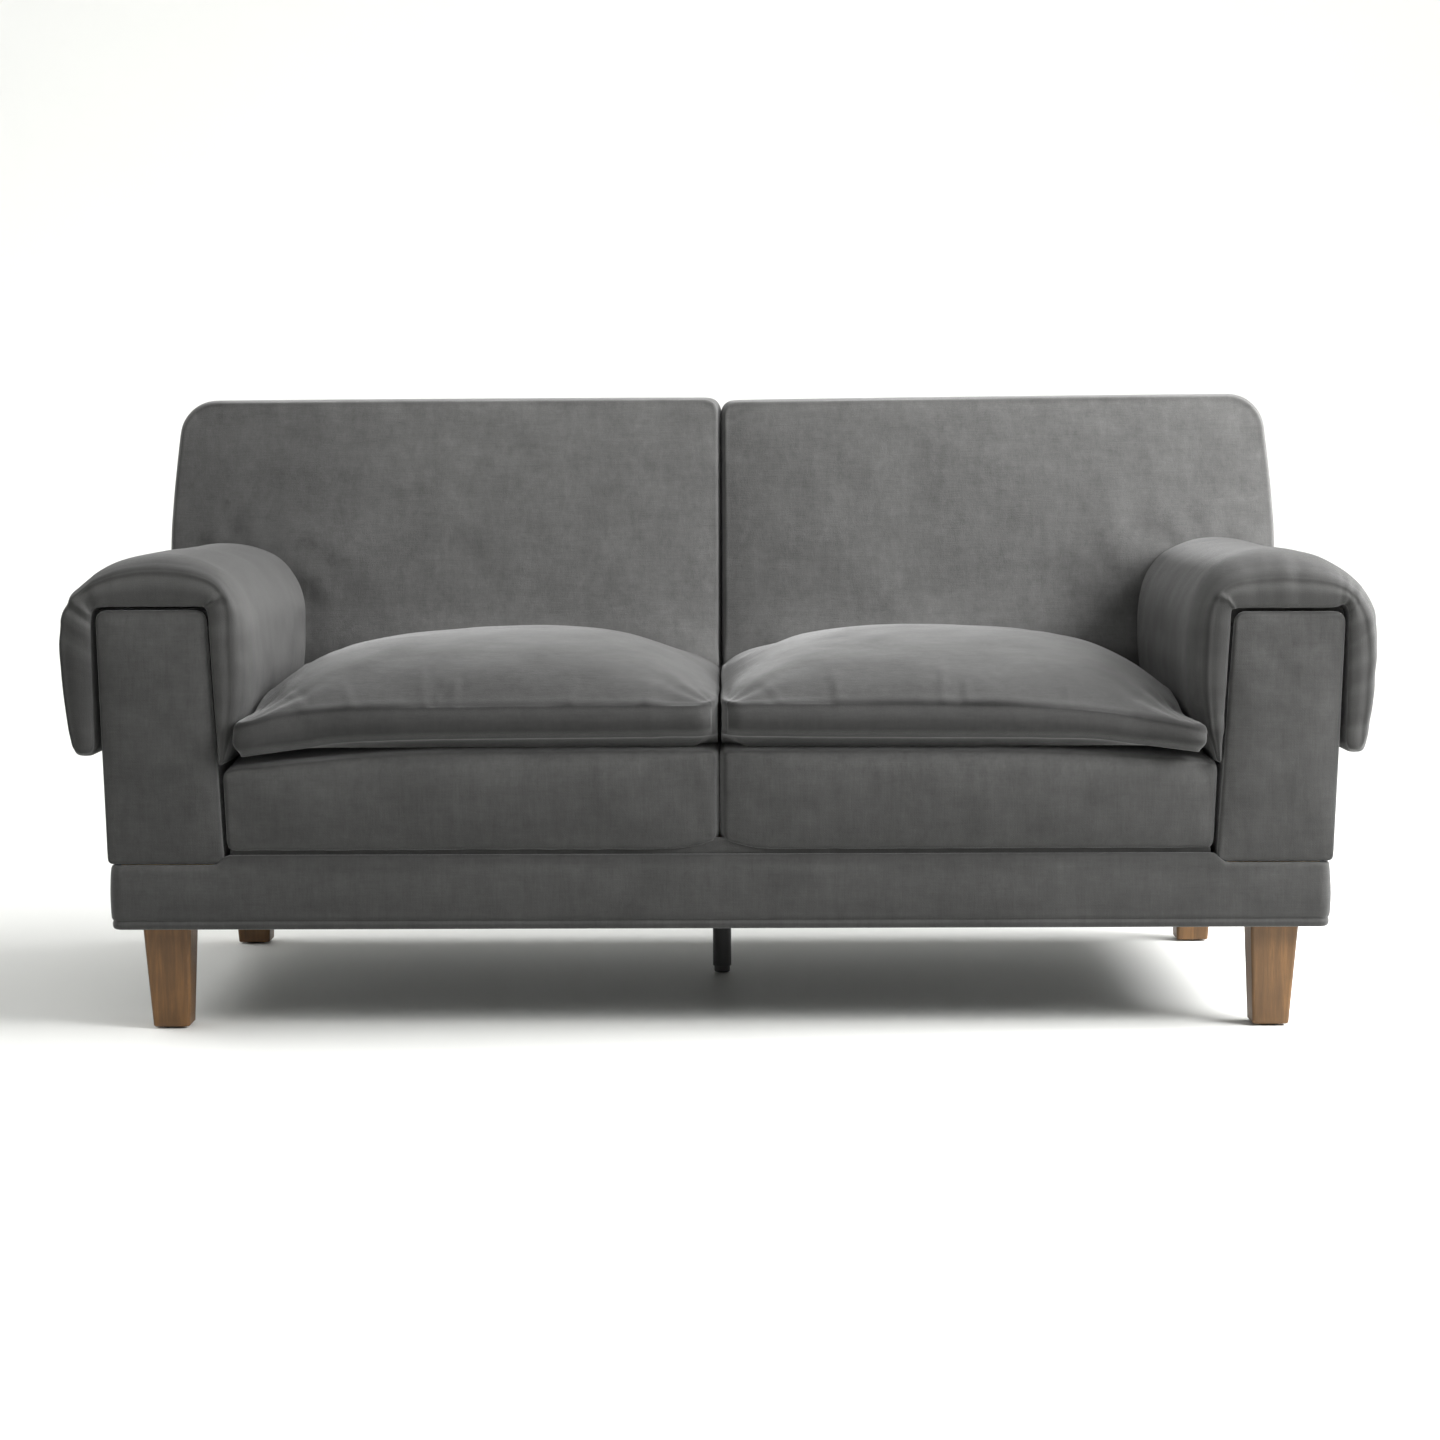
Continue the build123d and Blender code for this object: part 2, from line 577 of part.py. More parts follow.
for side, s in SIDES:
    x_low = min(s * BACK_X0, s * 850.0)
    with BuildPart() as back_body:
        with BuildSketch(Plane.YZ.offset(x_low)):
            with BuildLine():
                Polyline(
                    (yy(back_front(BASE_Z1)), BASE_Z1), (yy(back_front(BACK_TOP)), BACK_TOP),
                    (yy(back_rear(BACK_TOP)), BACK_TOP), (yy(back_rear(BASE_Z1)), BASE_Z1), close=True,
                )
            face = make_face()
            fillet(face.vertices().group_by(Axis.Y)[-1], 28)
        extrude(amount=850.0 - BACK_X0)
        with BuildSketch(front_view(400)) as outline:
            with BuildLine():
                Polyline(
                    (s * BACK_X0, BASE_Z1 - 1), (s * 832, BASE_Z1 - 1), (s * 846, 600),
                    (s * 844, 700), (s * 836, BACK_TOP), (s * BACK_X0, BACK_TOP), close=True,
                )
            make_face()
            fillet(outline.vertices().group_by(Axis.Y)[-1].sort_by(Axis.X)[-1 if s > 0 else 0], 42)
            fillet(outline.vertices().group_by(Axis.Y)[-1].sort_by(Axis.X)[0 if s > 0 else -1], 8)
        extrude(amount=-600, mode=Mode.INTERSECT)

    # padded front and sides, hollow where the wooden frame sits
    with BuildPart() as back_cushion:
        add(back_body.part)
        split(bisect_by=REAR_PLANE.offset(-REAR_SKIN), keep=Keep.BOTTOM)
        with BuildSketch(Plane.YZ.offset(min(s * CAV_X0, s * CAV_X1))):
            with BuildLine():
                Polyline(
                    (yy(back_front(BASE_Z1 - 5) + BACK_FOAM), BASE_Z1 - 5),
                    (yy(back_front(CAV_TOP) + BACK_FOAM), CAV_TOP),
                    (yy(900), CAV_TOP), (yy(900), BASE_Z1 - 5), close=True,
                )
            make_face()
        extrude(amount=CAV_X1 - CAV_X0, mode=Mode.SUBTRACT)
    back_cushion.part.label = f"back_cushion_{side}"
    export_step(back_cushion.part, f"parts/back_cushion_{side}.step")

    with BuildPart() as back_rear_panel:
        add(back_body.part)
        split(bisect_by=REAR_PLANE.offset(-REAR_SKIN), keep=Keep.TOP)
    back_rear_panel.part.label = f"back_rear_panel_{side}"
    export_step(back_rear_panel.part, f"parts/back_rear_panel_{side}.step")

    with BuildPart() as back_posts:
        for x0 in (22.0, 768.0):
            with BuildSketch(Plane.YZ.offset(min(s * x0, s * (x0 + 40)))):
                with BuildLine():
                    Polyline(*side_strip(BACK_FOAM + 2, BACK_FOAM + 42, BASE_Z1, 843), close=True)
                make_face()
            extrude(amount=40)
    back_posts.part.label = f"back_posts_{side}"
    export_step(back_posts.part, f"parts/back_posts_{side}.step")

    with BuildPart() as back_rails:
        with BuildSketch(Plane.XY.offset(BASE_Z1)):
            with Locations((s * (62 + 768) / 2, yy(BACK_BOLT_D))):
                Rectangle(768 - 62, 44)
        extrude(amount=40)
        with Locations(*[(s * x, yy(BACK_BOLT_D), BASE_Z1 + 40) for x in BACK_BOLT_X]):
            Hole(radius=4.3, depth=40)
        with BuildSketch(Plane.YZ.offset(min(s * 62, s * 768))):
            with BuildLine():
                Polyline(*side_strip(BACK_FOAM + 2, BACK_FOAM + 42, 798, 843), close=True)
            make_face()
            with BuildLine():
                Polyline(*side_strip(BACK_FOAM + 10, BACK_FOAM + 34, 520, 565), close=True)
            make_face()
        extrude(amount=768 - 62)
    back_rails.part.label = f"back_rails_{side}"
    export_step(back_rails.part, f"parts/back_rails_{side}.step")

    with BuildPart() as back_webbing:
        with BuildSketch(Plane.YZ.offset(min(s * 22, s * 808))):
            for z0 in (310, 400, 490, 580, 670, 760):
                with BuildLine():
                    Polyline(*side_strip(BACK_FOAM, BACK_FOAM + 1.8, z0, z0 + 50), close=True)
                make_face()
        extrude(amount=808 - 22)
    back_webbing.part.label = f"back_webbing_{side}"
    export_step(back_webbing.part, f"parts/back_webbing_{side}.step")

# ---------------------------------------------------------------- frame bolts
ARM_BOLTS = [(s * ARM_BOLT_X, yy(d), BASE_Z1 + 30) for s in (-1, 1) for d in ARM_BOLT_D]
BACK_BOLTS = [(s * x, yy(BACK_BOLT_D), BASE_Z1 + 40) for s in (-1, 1) for x in BACK_BOLT_X]
with BuildPart() as frame_bolts:
    with Locations(*ARM_BOLTS, *BACK_BOLTS):
        Cylinder(radius=6.5, height=5, align=(Align.CENTER, Align.CENTER, Align.MIN))
    with Locations(*ARM_BOLTS):
        Cylinder(radius=4.0, height=80, align=(Align.CENTER, Align.CENTER, Align.MAX))
    with Locations(*BACK_BOLTS):
        Cylinder(radius=4.0, height=90, align=(Align.CENTER, Align.CENTER, Align.MAX))
frame_bolts.part.label = "frame_bolts"
export_step(frame_bolts.part, "parts/frame_bolts.step")
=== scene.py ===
import bpy
import json
import math
import numpy as np
from mathutils import Matrix, Vector


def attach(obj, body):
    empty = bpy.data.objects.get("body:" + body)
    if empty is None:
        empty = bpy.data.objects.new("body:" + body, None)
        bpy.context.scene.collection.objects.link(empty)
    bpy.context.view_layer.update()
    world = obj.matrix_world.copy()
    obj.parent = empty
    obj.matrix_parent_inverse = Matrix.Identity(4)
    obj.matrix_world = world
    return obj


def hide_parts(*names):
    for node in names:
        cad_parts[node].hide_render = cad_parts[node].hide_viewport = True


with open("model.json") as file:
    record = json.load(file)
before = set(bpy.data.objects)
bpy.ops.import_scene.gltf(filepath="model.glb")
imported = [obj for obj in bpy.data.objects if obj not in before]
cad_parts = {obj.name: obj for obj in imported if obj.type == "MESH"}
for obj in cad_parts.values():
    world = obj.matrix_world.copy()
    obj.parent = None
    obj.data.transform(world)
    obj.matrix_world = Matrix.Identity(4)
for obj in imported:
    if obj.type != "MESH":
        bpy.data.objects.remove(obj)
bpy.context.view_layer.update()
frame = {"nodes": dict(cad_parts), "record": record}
bpy.context.scene.view_settings.view_transform = "Standard"

# Row frame in metres: +X right, -Y front, +Z up. d is the depth behind the front plane.
Y0 = -0.440
LEAN = math.tan(math.radians(13.0))


def back_front(z):
    return 0.605 + LEAN * (z - 0.660)


def back_rear(z):
    return 0.859 + 0.02195 * (z - 0.232) / 0.643


# ------------------------------------------------------------------ small numpy tools
_RNG = np.random.RandomState(11)
_LAT = _RNG.rand(32, 32, 32) * 2 - 1


def vnoise(p, scale, seed=0.0):
    """Smooth value noise in -1..1 at points p (N x 3), feature size scale in metres."""
    q = np.asarray(p, float) / scale + seed * 7.31 + 100.0
    i = np.floor(q).astype(int)
    f = q - i
    f = f * f * (3 - 2 * f)
    out = np.zeros(len(q))
    for dx in (0, 1):
        for dy in (0, 1):
            for dz in (0, 1):
                w = (f[:, 0] if dx else 1 - f[:, 0]) * (f[:, 1] if dy else 1 - f[:, 1]) * (f[:, 2] if dz else 1 - f[:, 2])
                out += w * _LAT[(i[:, 0] + dx) % 32, (i[:, 1] + dy) % 32, (i[:, 2] + dz) % 32]
    return out


def noise1(s, scale, seed=0.0):
    s = np.asarray(s, float)
    return vnoise(np.stack([s, np.full_like(s, seed * 0.37), np.full_like(s, seed * 0.11)], 1), scale, seed)


def smooth(x, lo, hi):
    t = np.clip((np.asarray(x, float) - lo) / (hi - lo), 0, 1)
    return t * t * (3 - 2 * t)


def gauss(x, s):
    return np.exp(-(np.asarray(x, float) / s) ** 2)


def interp(x, xs, ys):
    """Smooth interpolation through a short table (monotone cubic)."""
    xs, ys = np.asarray(xs, float), np.asarray(ys, float)
    h = np.diff(xs)
    d = np.diff(ys) / h
    m = np.zeros(len(xs))
    m[1:-1] = np.where(d[:-1] * d[1:] > 0, 2 * d[:-1] * d[1:] / np.where(np.abs(d[:-1] + d[1:]) < 1e-12, 1, d[:-1] + d[1:]), 0)
    m[0], m[-1] = d[0], d[-1]
    x = np.clip(np.asarray(x, float), xs[0], xs[-1])
    k = np.clip(np.searchsorted(xs, x) - 1, 0, len(h) - 1)
    t = (x - xs[k]) / h[k]
    return (
        (2 * t**3 - 3 * t**2 + 1) * ys[k] + (t**3 - 2 * t**2 + t) * h[k] * m[k]
        + (-2 * t**3 + 3 * t**2) * ys[k + 1] + (t**3 - t**2) * h[k] * m[k + 1]
    )


def ramp(n, ease=0.5):
    """n+1 values from -1 to 1, closer together towards both ends."""
    s = np.linspace(-1, 1, n + 1)
    return (1 - ease) * s + ease * np.sin(s * math.pi / 2)


def cube_grid(na, nb, nc, ea=0.5, eb=0.5, ec=0.5):
    """Points and quads of a closed unit cube surface (-1..1), faces wound outwards."""
    A, B, C = ramp(na, ea), ramp(nb, eb), ramp(nc, ec)
    pts, quads = [], []
    index = {}

    def vid(i, j, k):
        key = (i, j, k)
        if key not in index:
            index[key] = len(pts)
            pts.append((A[i], B[j], C[k]))
        return index[key]

    for i in (0, na):
        for j in range(nb):
            for k in range(nc):
                q = [vid(i, j, k), vid(i, j + 1, k), vid(i, j + 1, k + 1), vid(i, j, k + 1)]
                quads.append(q if i else q[::-1])
    for j in (0, nb):
        for i in range(na):
            for k in range(nc):
                q = [vid(i, j, k), vid(i, j, k + 1), vid(i + 1, j, k + 1), vid(i + 1, j, k)]
                quads.append(q if j else q[::-1])
    for k in (0, nc):
        for i in range(na):
            for j in range(nb):
                q = [vid(i, j, k), vid(i + 1, j, k), vid(i + 1, j + 1, k), vid(i, j + 1, k)]
                quads.append(q if k else q[::-1])
    return np.array(pts), np.array(quads)


def normals_of(v, f):
    n = np.zeros_like(v)
    a = v[f[:, 1]] - v[f[:, 3]]
    b = v[f[:, 2]] - v[f[:, 0]]
    fn = np.cross(b, a)
    for k in range(4):
        np.add.at(n, f[:, k], fn)
    ln = np.linalg.norm(n, axis=1, keepdims=True)
    return n / np.where(ln < 1e-12, 1, ln)


def relax(v, f, rounds=1, amount=0.5, weight=None):
    """Laplacian smoothing of a closed quad mesh."""
    e = np.concatenate([f[:, [0, 1]], f[:, [1, 2]], f[:, [2, 3]], f[:, [3, 0]]])
    cnt = np.zeros(len(v))
    np.add.at(cnt, e[:, 0], 1)
    np.add.at(cnt, e[:, 1], 1)
    w = amount if weight is None else (amount * weight)[:, None]
    for _ in range(rounds):
        s = np.zeros_like(v)
        np.add.at(s, e[:, 0], v[e[:, 1]])
        np.add.at(s, e[:, 1], v[e[:, 0]])
        v = v + w * (s / cnt[:, None] - v)
    return v


def mesh_object(name, v, f, mat, body, subdiv=0, replace=(), painted_shade=None):
    me = bpy.data.meshes.new(name)
    me.from_pydata([tuple(p) for p in np.asarray(v, float)], [], [tuple(int(i) for i in q) for q in f])
    me.update()
    # painted shade: a point attribute that the cloth shaders use to darken the colour
    if painted_shade is not None:
        at = me.attributes.new("painted_shade", "FLOAT", "POINT")
        at.data.foreach_set("value", np.clip(painted_shade, 0, 1).astype(np.float32))
    for p in me.polygons:
        p.use_smooth = True
    ob = bpy.data.objects.new(name, me)
    bpy.context.scene.collection.objects.link(ob)
    ob.data.materials.append(mat)
    if subdiv:
        m = ob.modifiers.new("subdiv", "SUBSURF")
        m.levels = subdiv
        m.render_levels = subdiv
    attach(ob, body)
    if replace:
        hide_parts(*replace)
    return ob


def outward(v, f):
    """Flips the winding if the closed mesh is inside out."""
    a, b, c, d = (v[f[:, k]] for k in range(4))
    vol = np.einsum("ij,ij->i", a, np.cross(b, c)).sum() + np.einsum("ij,ij->i", a, np.cross(c, d)).sum()
    return f if vol > 0 else f[:, ::-1]


# ------------------------------------------------------------------ materials
def node(nt, kind, **props):
    n = nt.nodes.new(kind)
    for k, val in props.items():
        setattr(n, k, val)
    return n


def new_material(name):
    m = bpy.data.materials.new(name)
    m.use_nodes = True
    nt = m.node_tree
    bsdf = nt.nodes["Principled BSDF"]
    return m, nt, bsdf


def math_node(nt, op, a=None, b=None, c=None, clamp=False):
    n = node(nt, "ShaderNodeMath", operation=op, use_clamp=clamp)
    for i, x in enumerate((a, b, c)):
        if x is None:
            continue
        if isinstance(x, (int, float)):
            n.inputs[i].default_value = x
        else:
            nt.links.new(x, n.inputs[i])
    return n.outputs[0]


def noise_node(nt, vec, scale, detail=3.0, rough=0.55, stretch=None, distortion=0.0):
    if stretch is not None:
        mp = node(nt, "ShaderNodeMapping")
        mp.inputs["Scale"].default_value = stretch
        nt.links.new(vec, mp.inputs["Vector"])
        vec = mp.outputs[0]
    n = node(nt, "ShaderNodeTexNoise")
    n.inputs["Scale"].default_value = scale
    n.inputs["Detail"].default_value = detail
    n.inputs["Roughness"].default_value = rough
    n.inputs["Distortion"].default_value = distortion
    nt.links.new(vec, n.inputs["Vector"])
    return n.outputs[0]


def fabric_material(name, tone=0.100, seed=0.0, sheen=0.30, bump=1.0, facing_shade=(0.60, 1.0, 0.92), streak=1.0, pale_edges_hollow_shade=0.9):
    """Dense grey upholstery cloth: fine crossed threads, short slubs and soft cloudy mottling, with painted shade on
    upright faces, along seams and in hollows.
    """
    m, nt, bsdf = new_material(name)
    tc = node(nt, "ShaderNodeTexCoord")
    off = node(nt, "ShaderNodeMapping")
    off.inputs["Location"].default_value = (seed * 1.7, seed * 0.9, seed * 2.3)
    nt.links.new(tc.outputs["Object"], off.inputs["Vector"])
    vec = off.outputs[0]
    cloud = noise_node(nt, vec, 6.0, 4.0, 0.6, distortion=0.6)
    patch = noise_node(nt, vec, 24.0, 3.0, 0.6, distortion=0.4)
    mottle = noise_node(nt, vec, 75.0, 3.0, 0.65, distortion=0.5)
    smear_v = noise_node(nt, vec, 1.0, 3.0, 0.6, stretch=(75.0, 75.0, 13.0), distortion=0.3)
    smear_h = noise_node(nt, vec, 1.0, 3.0, 0.6, stretch=(13.0, 13.0, 75.0), distortion=0.3)
    slub_h = noise_node(nt, vec, 1.0, 2.0, 0.6, stretch=(45.0, 45.0, 420.0), distortion=0.3)
    slub_v = noise_node(nt, vec, 1.0, 2.0, 0.6, stretch=(420.0, 420.0, 38.0), distortion=0.3)
    grain = noise_node(nt, vec, 900.0, 2.0, 0.6)
    # sum of the variations, centred on 1
    s = math_node(nt, "MULTIPLY_ADD", cloud, 0.46, 0.77)
    for part, amount in ((patch, 0.34), (mottle, 0.36 * (0.4 + 0.6 * streak)), (smear_v, 0.42 * streak), (smear_h, 0.24 * streak), (slub_h, 0.20 * (0.4 + 0.6 * streak)), (slub_v, 0.28 * (0.4 + 0.6 * streak)), (grain, 0.30)):
        s = math_node(nt, "MULTIPLY_ADD", part, amount, math_node(nt, "SUBTRACT", s, amount / 2))
    # paler along outer edges and darker in hollows; the darkening in hollows is painted shade
    geo = node(nt, "ShaderNodeNewGeometry")
    edge = math_node(nt, "SUBTRACT", geo.outputs["Pointiness"], 0.5)
    edge = math_node(nt, "MULTIPLY", edge, pale_edges_hollow_shade)
    s = math_node(nt, "ADD", s, edge)
    # painted light and shade by facing: the colour is scaled by how far the face turns up, darkest on upright and
    # downward faces
    sep = node(nt, "ShaderNodeSeparateXYZ")
    nt.links.new(geo.outputs["Normal"], sep.inputs[0])
    up = node(nt, "ShaderNodeValToRGB")
    up.color_ramp.interpolation = "EASE"
    low, mid, high = facing_shade
    up.color_ramp.elements[0].position = 0.43
    up.color_ramp.elements[0].color = (low, low, low, 1)
    up.color_ramp.elements[1].position = 1.0
    up.color_ramp.elements[1].color = (high, high, high, 1)
    el = up.color_ramp.elements.new(0.63)
    el.color = (mid, mid, mid, 1)
    nt.links.new(math_node(nt, "MULTIPLY_ADD", sep.outputs["Z"], 0.5, 0.5), up.inputs[0])
    s = math_node(nt, "MULTIPLY", s, math_node(nt, "MULTIPLY", up.outputs[0], 1.0))
    # painted shade: the point attribute darkens the colour by up to 60 percent along seams and where shade falls
    att = node(nt, "ShaderNodeAttribute", attribute_name="painted_shade")
    s = math_node(nt, "MULTIPLY", s, math_node(nt, "MULTIPLY_ADD", att.outputs["Fac"], -0.6, 1.0))
    col = node(nt, "ShaderNodeMix", data_type="RGBA", blend_type="MULTIPLY")
    col.inputs["Factor"].default_value = 1.0
    col.inputs[6].default_value = (tone, tone * 0.992, tone * 0.975, 1)
    comb = node(nt, "ShaderNodeCombineColor")
    for i in range(3):
        nt.links.new(s, comb.inputs[i])
    nt.links.new(comb.outputs[0], col.inputs[7])
    nt.links.new(col.outputs[2], bsdf.inputs["Base Color"])
    rough = math_node(nt, "MULTIPLY_ADD", patch, 0.12, 0.80)
    nt.links.new(rough, bsdf.inputs["Roughness"])
    bsdf.inputs["Specular IOR Level"].default_value = 0.25
    bsdf.inputs["Sheen Weight"].default_value = sheen
    bsdf.inputs["Sheen Roughness"].default_value = 0.45
    bsdf.inputs["Sheen Tint"].default_value = (0.9, 0.9, 0.9, 1)
    # height: threads at about a millimetre, slubs, and a soft unevenness of the padding
    w1 = node(nt, "ShaderNodeTexWave", wave_type="BANDS", bands_direction="Z", wave_profile="SIN")
    w1.inputs["Scale"].default_value = 260.0
    w1.inputs["Distortion"].default_value = 1.2
    w1.inputs["Detail"].default_value = 1.0
    nt.links.new(vec, w1.inputs["Vector"])
    w2 = node(nt, "ShaderNodeTexWave", wave_type="BANDS", bands_direction="DIAGONAL", wave_profile="SIN")
    w2.inputs["Scale"].default_value = 300.0
    w2.inputs["Distortion"].default_value = 1.2
    w2.inputs["Detail"].default_value = 1.0
    nt.links.new(vec, w2.inputs["Vector"])
    h = math_node(nt, "ADD", math_node(nt, "MULTIPLY", w1.outputs["Fac"], 0.2), math_node(nt, "MULTIPLY", w2.outputs["Fac"], 0.25))
    h = math_node(nt, "ADD", h, math_node(nt, "MULTIPLY", grain, 0.9))
    h = math_node(nt, "ADD", h, math_node(nt, "MULTIPLY", slub_h, 0.8))
    h = math_node(nt, "ADD", h, math_node(nt, "MULTIPLY", slub_v, 0.7))
    b1 = node(nt, "ShaderNodeBump")
    b1.inputs["Strength"].default_value = 0.35 * bump
    b1.inputs["Distance"].default_value = 0.0009
    nt.links.new(h, b1.inputs["Height"])
    soft = noise_node(nt, vec, 16.0, 2.0, 0.5)
    b2 = node(nt, "ShaderNodeBump")
    b2.inputs["Strength"].default_value = 0.35 * bump
    b2.inputs["Distance"].default_value = 0.006
    nt.links.new(soft, b2.inputs["Height"])
    nt.links.new(b1.outputs[0], b2.inputs["Normal"])
    nt.links.new(b2.outputs[0], bsdf.inputs["Normal"])
    return m


def wood_material(name, tone=(0.205, 0.108, 0.055), seed=0.0, light=1.0):
    m, nt, bsdf = new_material(name)
    tc = node(nt, "ShaderNodeTexCoord")
    mp = node(nt, "ShaderNodeMapping")
    mp.inputs["Location"].default_value = (seed * 0.37, seed * 0.61, seed * 0.13)
    nt.links.new(tc.outputs["Object"], mp.inputs["Vector"])
    vec = mp.outputs[0]
    fibre = noise_node(nt, vec, 1.0, 4.0, 0.65, stretch=(420.0, 420.0, 14.0), distortion=0.2)
    ring = noise_node(nt, vec, 1.0, 3.0, 0.5, stretch=(75.0, 75.0, 5.0), distortion=0.8)
    blot = noise_node(nt, vec, 18.0, 3.0, 0.6)
    pores = noise_node(nt, vec, 1.0, 2.0, 0.7, stretch=(1100.0, 1100.0, 60.0))
    mixv = math_node(nt, "ADD", math_node(nt, "MULTIPLY", fibre, 0.35), math_node(nt, "MULTIPLY", ring, 0.75))
    mixv = math_node(nt, "ADD", mixv, math_node(nt, "MULTIPLY", blot, 0.35))
    cr = node(nt, "ShaderNodeValToRGB")
    cr.color_ramp.elements[0].position = 0.42
    cr.color_ramp.elements[1].position = 1.0
    dark = [c * 0.55 * light for c in tone]
    pale = [c * 1.75 * light for c in tone]
    cr.color_ramp.elements[0].color = (*dark, 1)
    cr.color_ramp.elements[1].color = (*pale, 1)
    e = cr.color_ramp.elements.new(0.72)
    e.color = (tone[0] * light, tone[1] * light, tone[2] * light, 1)
    nt.links.new(mixv, cr.inputs[0])
    # one small knot
    vor = node(nt, "ShaderNodeTexVoronoi", feature="F1")
    vor.inputs["Scale"].default_value = 11.0
    mk = node(nt, "ShaderNodeMapping")
    mk.inputs["Scale"].default_value = (1.0, 1.0, 0.45)
    nt.links.new(vec, mk.inputs["Vector"])
    nt.links.new(mk.outputs[0], vor.inputs["Vector"])
    kr = node(nt, "ShaderNodeValToRGB")
    kr.color_ramp.elements[0].position = 0.05
    kr.color_ramp.elements[0].color = (0.35, 0.3, 0.28, 1)
    kr.color_ramp.elements[1].position = 0.16
    kr.color_ramp.elements[1].color = (1, 1, 1, 1)
    nt.links.new(vor.outputs["Distance"], kr.inputs[0])
    mul = node(nt, "ShaderNodeMix", data_type="RGBA", blend_type="MULTIPLY")
    mul.inputs["Factor"].default_value = 0.8
    nt.links.new(cr.outputs[0], mul.inputs[6])
    nt.links.new(kr.outputs[0], mul.inputs[7])
    # paler along convex edges and darker in hollows; the darkening in hollows is painted shade
    geo = node(nt, "ShaderNodeNewGeometry")
    pale_edges_hollow_shade = math_node(nt, "MULTIPLY_ADD", geo.outputs["Pointiness"], 3.0, -0.55)
    pale_edges_hollow_shade = math_node(nt, "MAXIMUM", math_node(nt, "MINIMUM", pale_edges_hollow_shade, 1.4), 0.8)
    comb = node(nt, "ShaderNodeCombineColor")
    for i in range(3):
        nt.links.new(pale_edges_hollow_shade, comb.inputs[i])
    mul2 = node(nt, "ShaderNodeMix", data_type="RGBA", blend_type="MULTIPLY")
    mul2.inputs["Factor"].default_value = 1.0
    nt.links.new(mul.outputs[2], mul2.inputs[6])
    nt.links.new(comb.outputs[0], mul2.inputs[7])
    nt.links.new(mul2.outputs[2], bsdf.inputs["Base Color"])
    rough = math_node(nt, "MULTIPLY_ADD", fibre, 0.25, 0.36)
    nt.links.new(rough, bsdf.inputs["Roughness"])
    bsdf.inputs["Specular IOR Level"].default_value = 0.4
    bp = node(nt, "ShaderNodeBump")
    bp.inputs["Strength"].default_value = 0.4
    bp.inputs["Distance"].default_value = 0.0006
    nt.links.new(math_node(nt, "ADD", fibre, pores), bp.inputs["Height"])
    nt.links.new(bp.outputs[0], bsdf.inputs["Normal"])
    return m


def plain_material(name, color, rough=0.5, metal=0.0, grain=400.0, vary=0.25, bump=0.15, spec=0.5):
    """Metal or plastic with slight unevenness, scuffs and grain."""
    m, nt, bsdf = new_material(name)
    tc = node(nt, "ShaderNodeTexCoord")
    vec = tc.outputs["Object"]
    fine = noise_node(nt, vec, grain, 3.0, 0.6)
    big = noise_node(nt, vec, 25.0, 4.0, 0.6)
    s = math_node(nt, "MULTIPLY_ADD", big, vary, 1 - vary / 2)
    comb = node(nt, "ShaderNodeCombineColor")
    for i in range(3):
        nt.links.new(s, comb.inputs[i])
    mul = node(nt, "ShaderNodeMix", data_type="RGBA", blend_type="MULTIPLY")
    mul.inputs["Factor"].default_value = 1.0
    mul.inputs[6].default_value = (*color, 1)
    nt.links.new(comb.outputs[0], mul.inputs[7])
    nt.links.new(mul.outputs[2], bsdf.inputs["Base Color"])
    nt.links.new(math_node(nt, "MULTIPLY_ADD", big, 0.2, rough - 0.1), bsdf.inputs["Roughness"])
    bsdf.inputs["Metallic"].default_value = metal
    bsdf.inputs["Specular IOR Level"].default_value = spec
    bp = node(nt, "ShaderNodeBump")
    bp.inputs["Strength"].default_value = bump
    bp.inputs["Distance"].default_value = 0.0005
    nt.links.new(fine, bp.inputs["Height"])
    nt.links.new(bp.outputs[0], bsdf.inputs["Normal"])
    return m


# painted light and shade: one grey cloth is made in several copies, each with its own tone and facing shade, lighter on
# the backs than on the seats, decks, arms, pads and base
FAB_BACK = fabric_material("cloth_back", tone=0.082, seed=1.0)
FAB_SEAT = fabric_material("cloth_seat", tone=0.049, seed=2.0, facing_shade=(0.56, 0.78, 0.84), streak=0.7, pale_edges_hollow_shade=0.2)
FAB_DECK = fabric_material("cloth_deck", tone=0.056, seed=6.0, pale_edges_hollow_shade=0.8)
FAB_ARM = fabric_material("cloth_arm", tone=0.056, seed=3.0, pale_edges_hollow_shade=0.8)
FAB_PAD = fabric_material("cloth_pad", tone=0.062, seed=4.0, sheen=0.14, facing_shade=(0.57, 1.02, 0.70), streak=0.0, pale_edges_hollow_shade=0.5)
FAB_BASE = fabric_material("cloth_base", tone=0.053, seed=5.0, pale_edges_hollow_shade=0.6)
# painted light and shade: two copies of the same stained wood, the darker one for the leg wood in general and the
# lighter one for the two right legs
WOOD_SHADED = wood_material("stained_wood_shaded", tone=(0.104, 0.050, 0.0155), seed=1.0)
WOOD_LIT = wood_material("stained_wood_lit", tone=(0.118, 0.060, 0.021), seed=7.0)
RAW = wood_material("raw_pine", tone=(0.42, 0.28, 0.15), seed=3.0)
BLACK = plain_material("black_coated_steel", (0.016, 0.016, 0.017), 0.45, 0.0, spec=0.4)
STEEL = plain_material("zinc_steel", (0.55, 0.55, 0.56), 0.4, 1.0)
PLASTIC = plain_material("black_plastic", (0.02, 0.02, 0.02), 0.55, 0.0, grain=700.0)
CLOTH = plain_material("black_nonwoven", (0.018, 0.018, 0.019), 0.9, 0.0, grain=1200.0, vary=0.5, bump=0.5, spec=0.15)

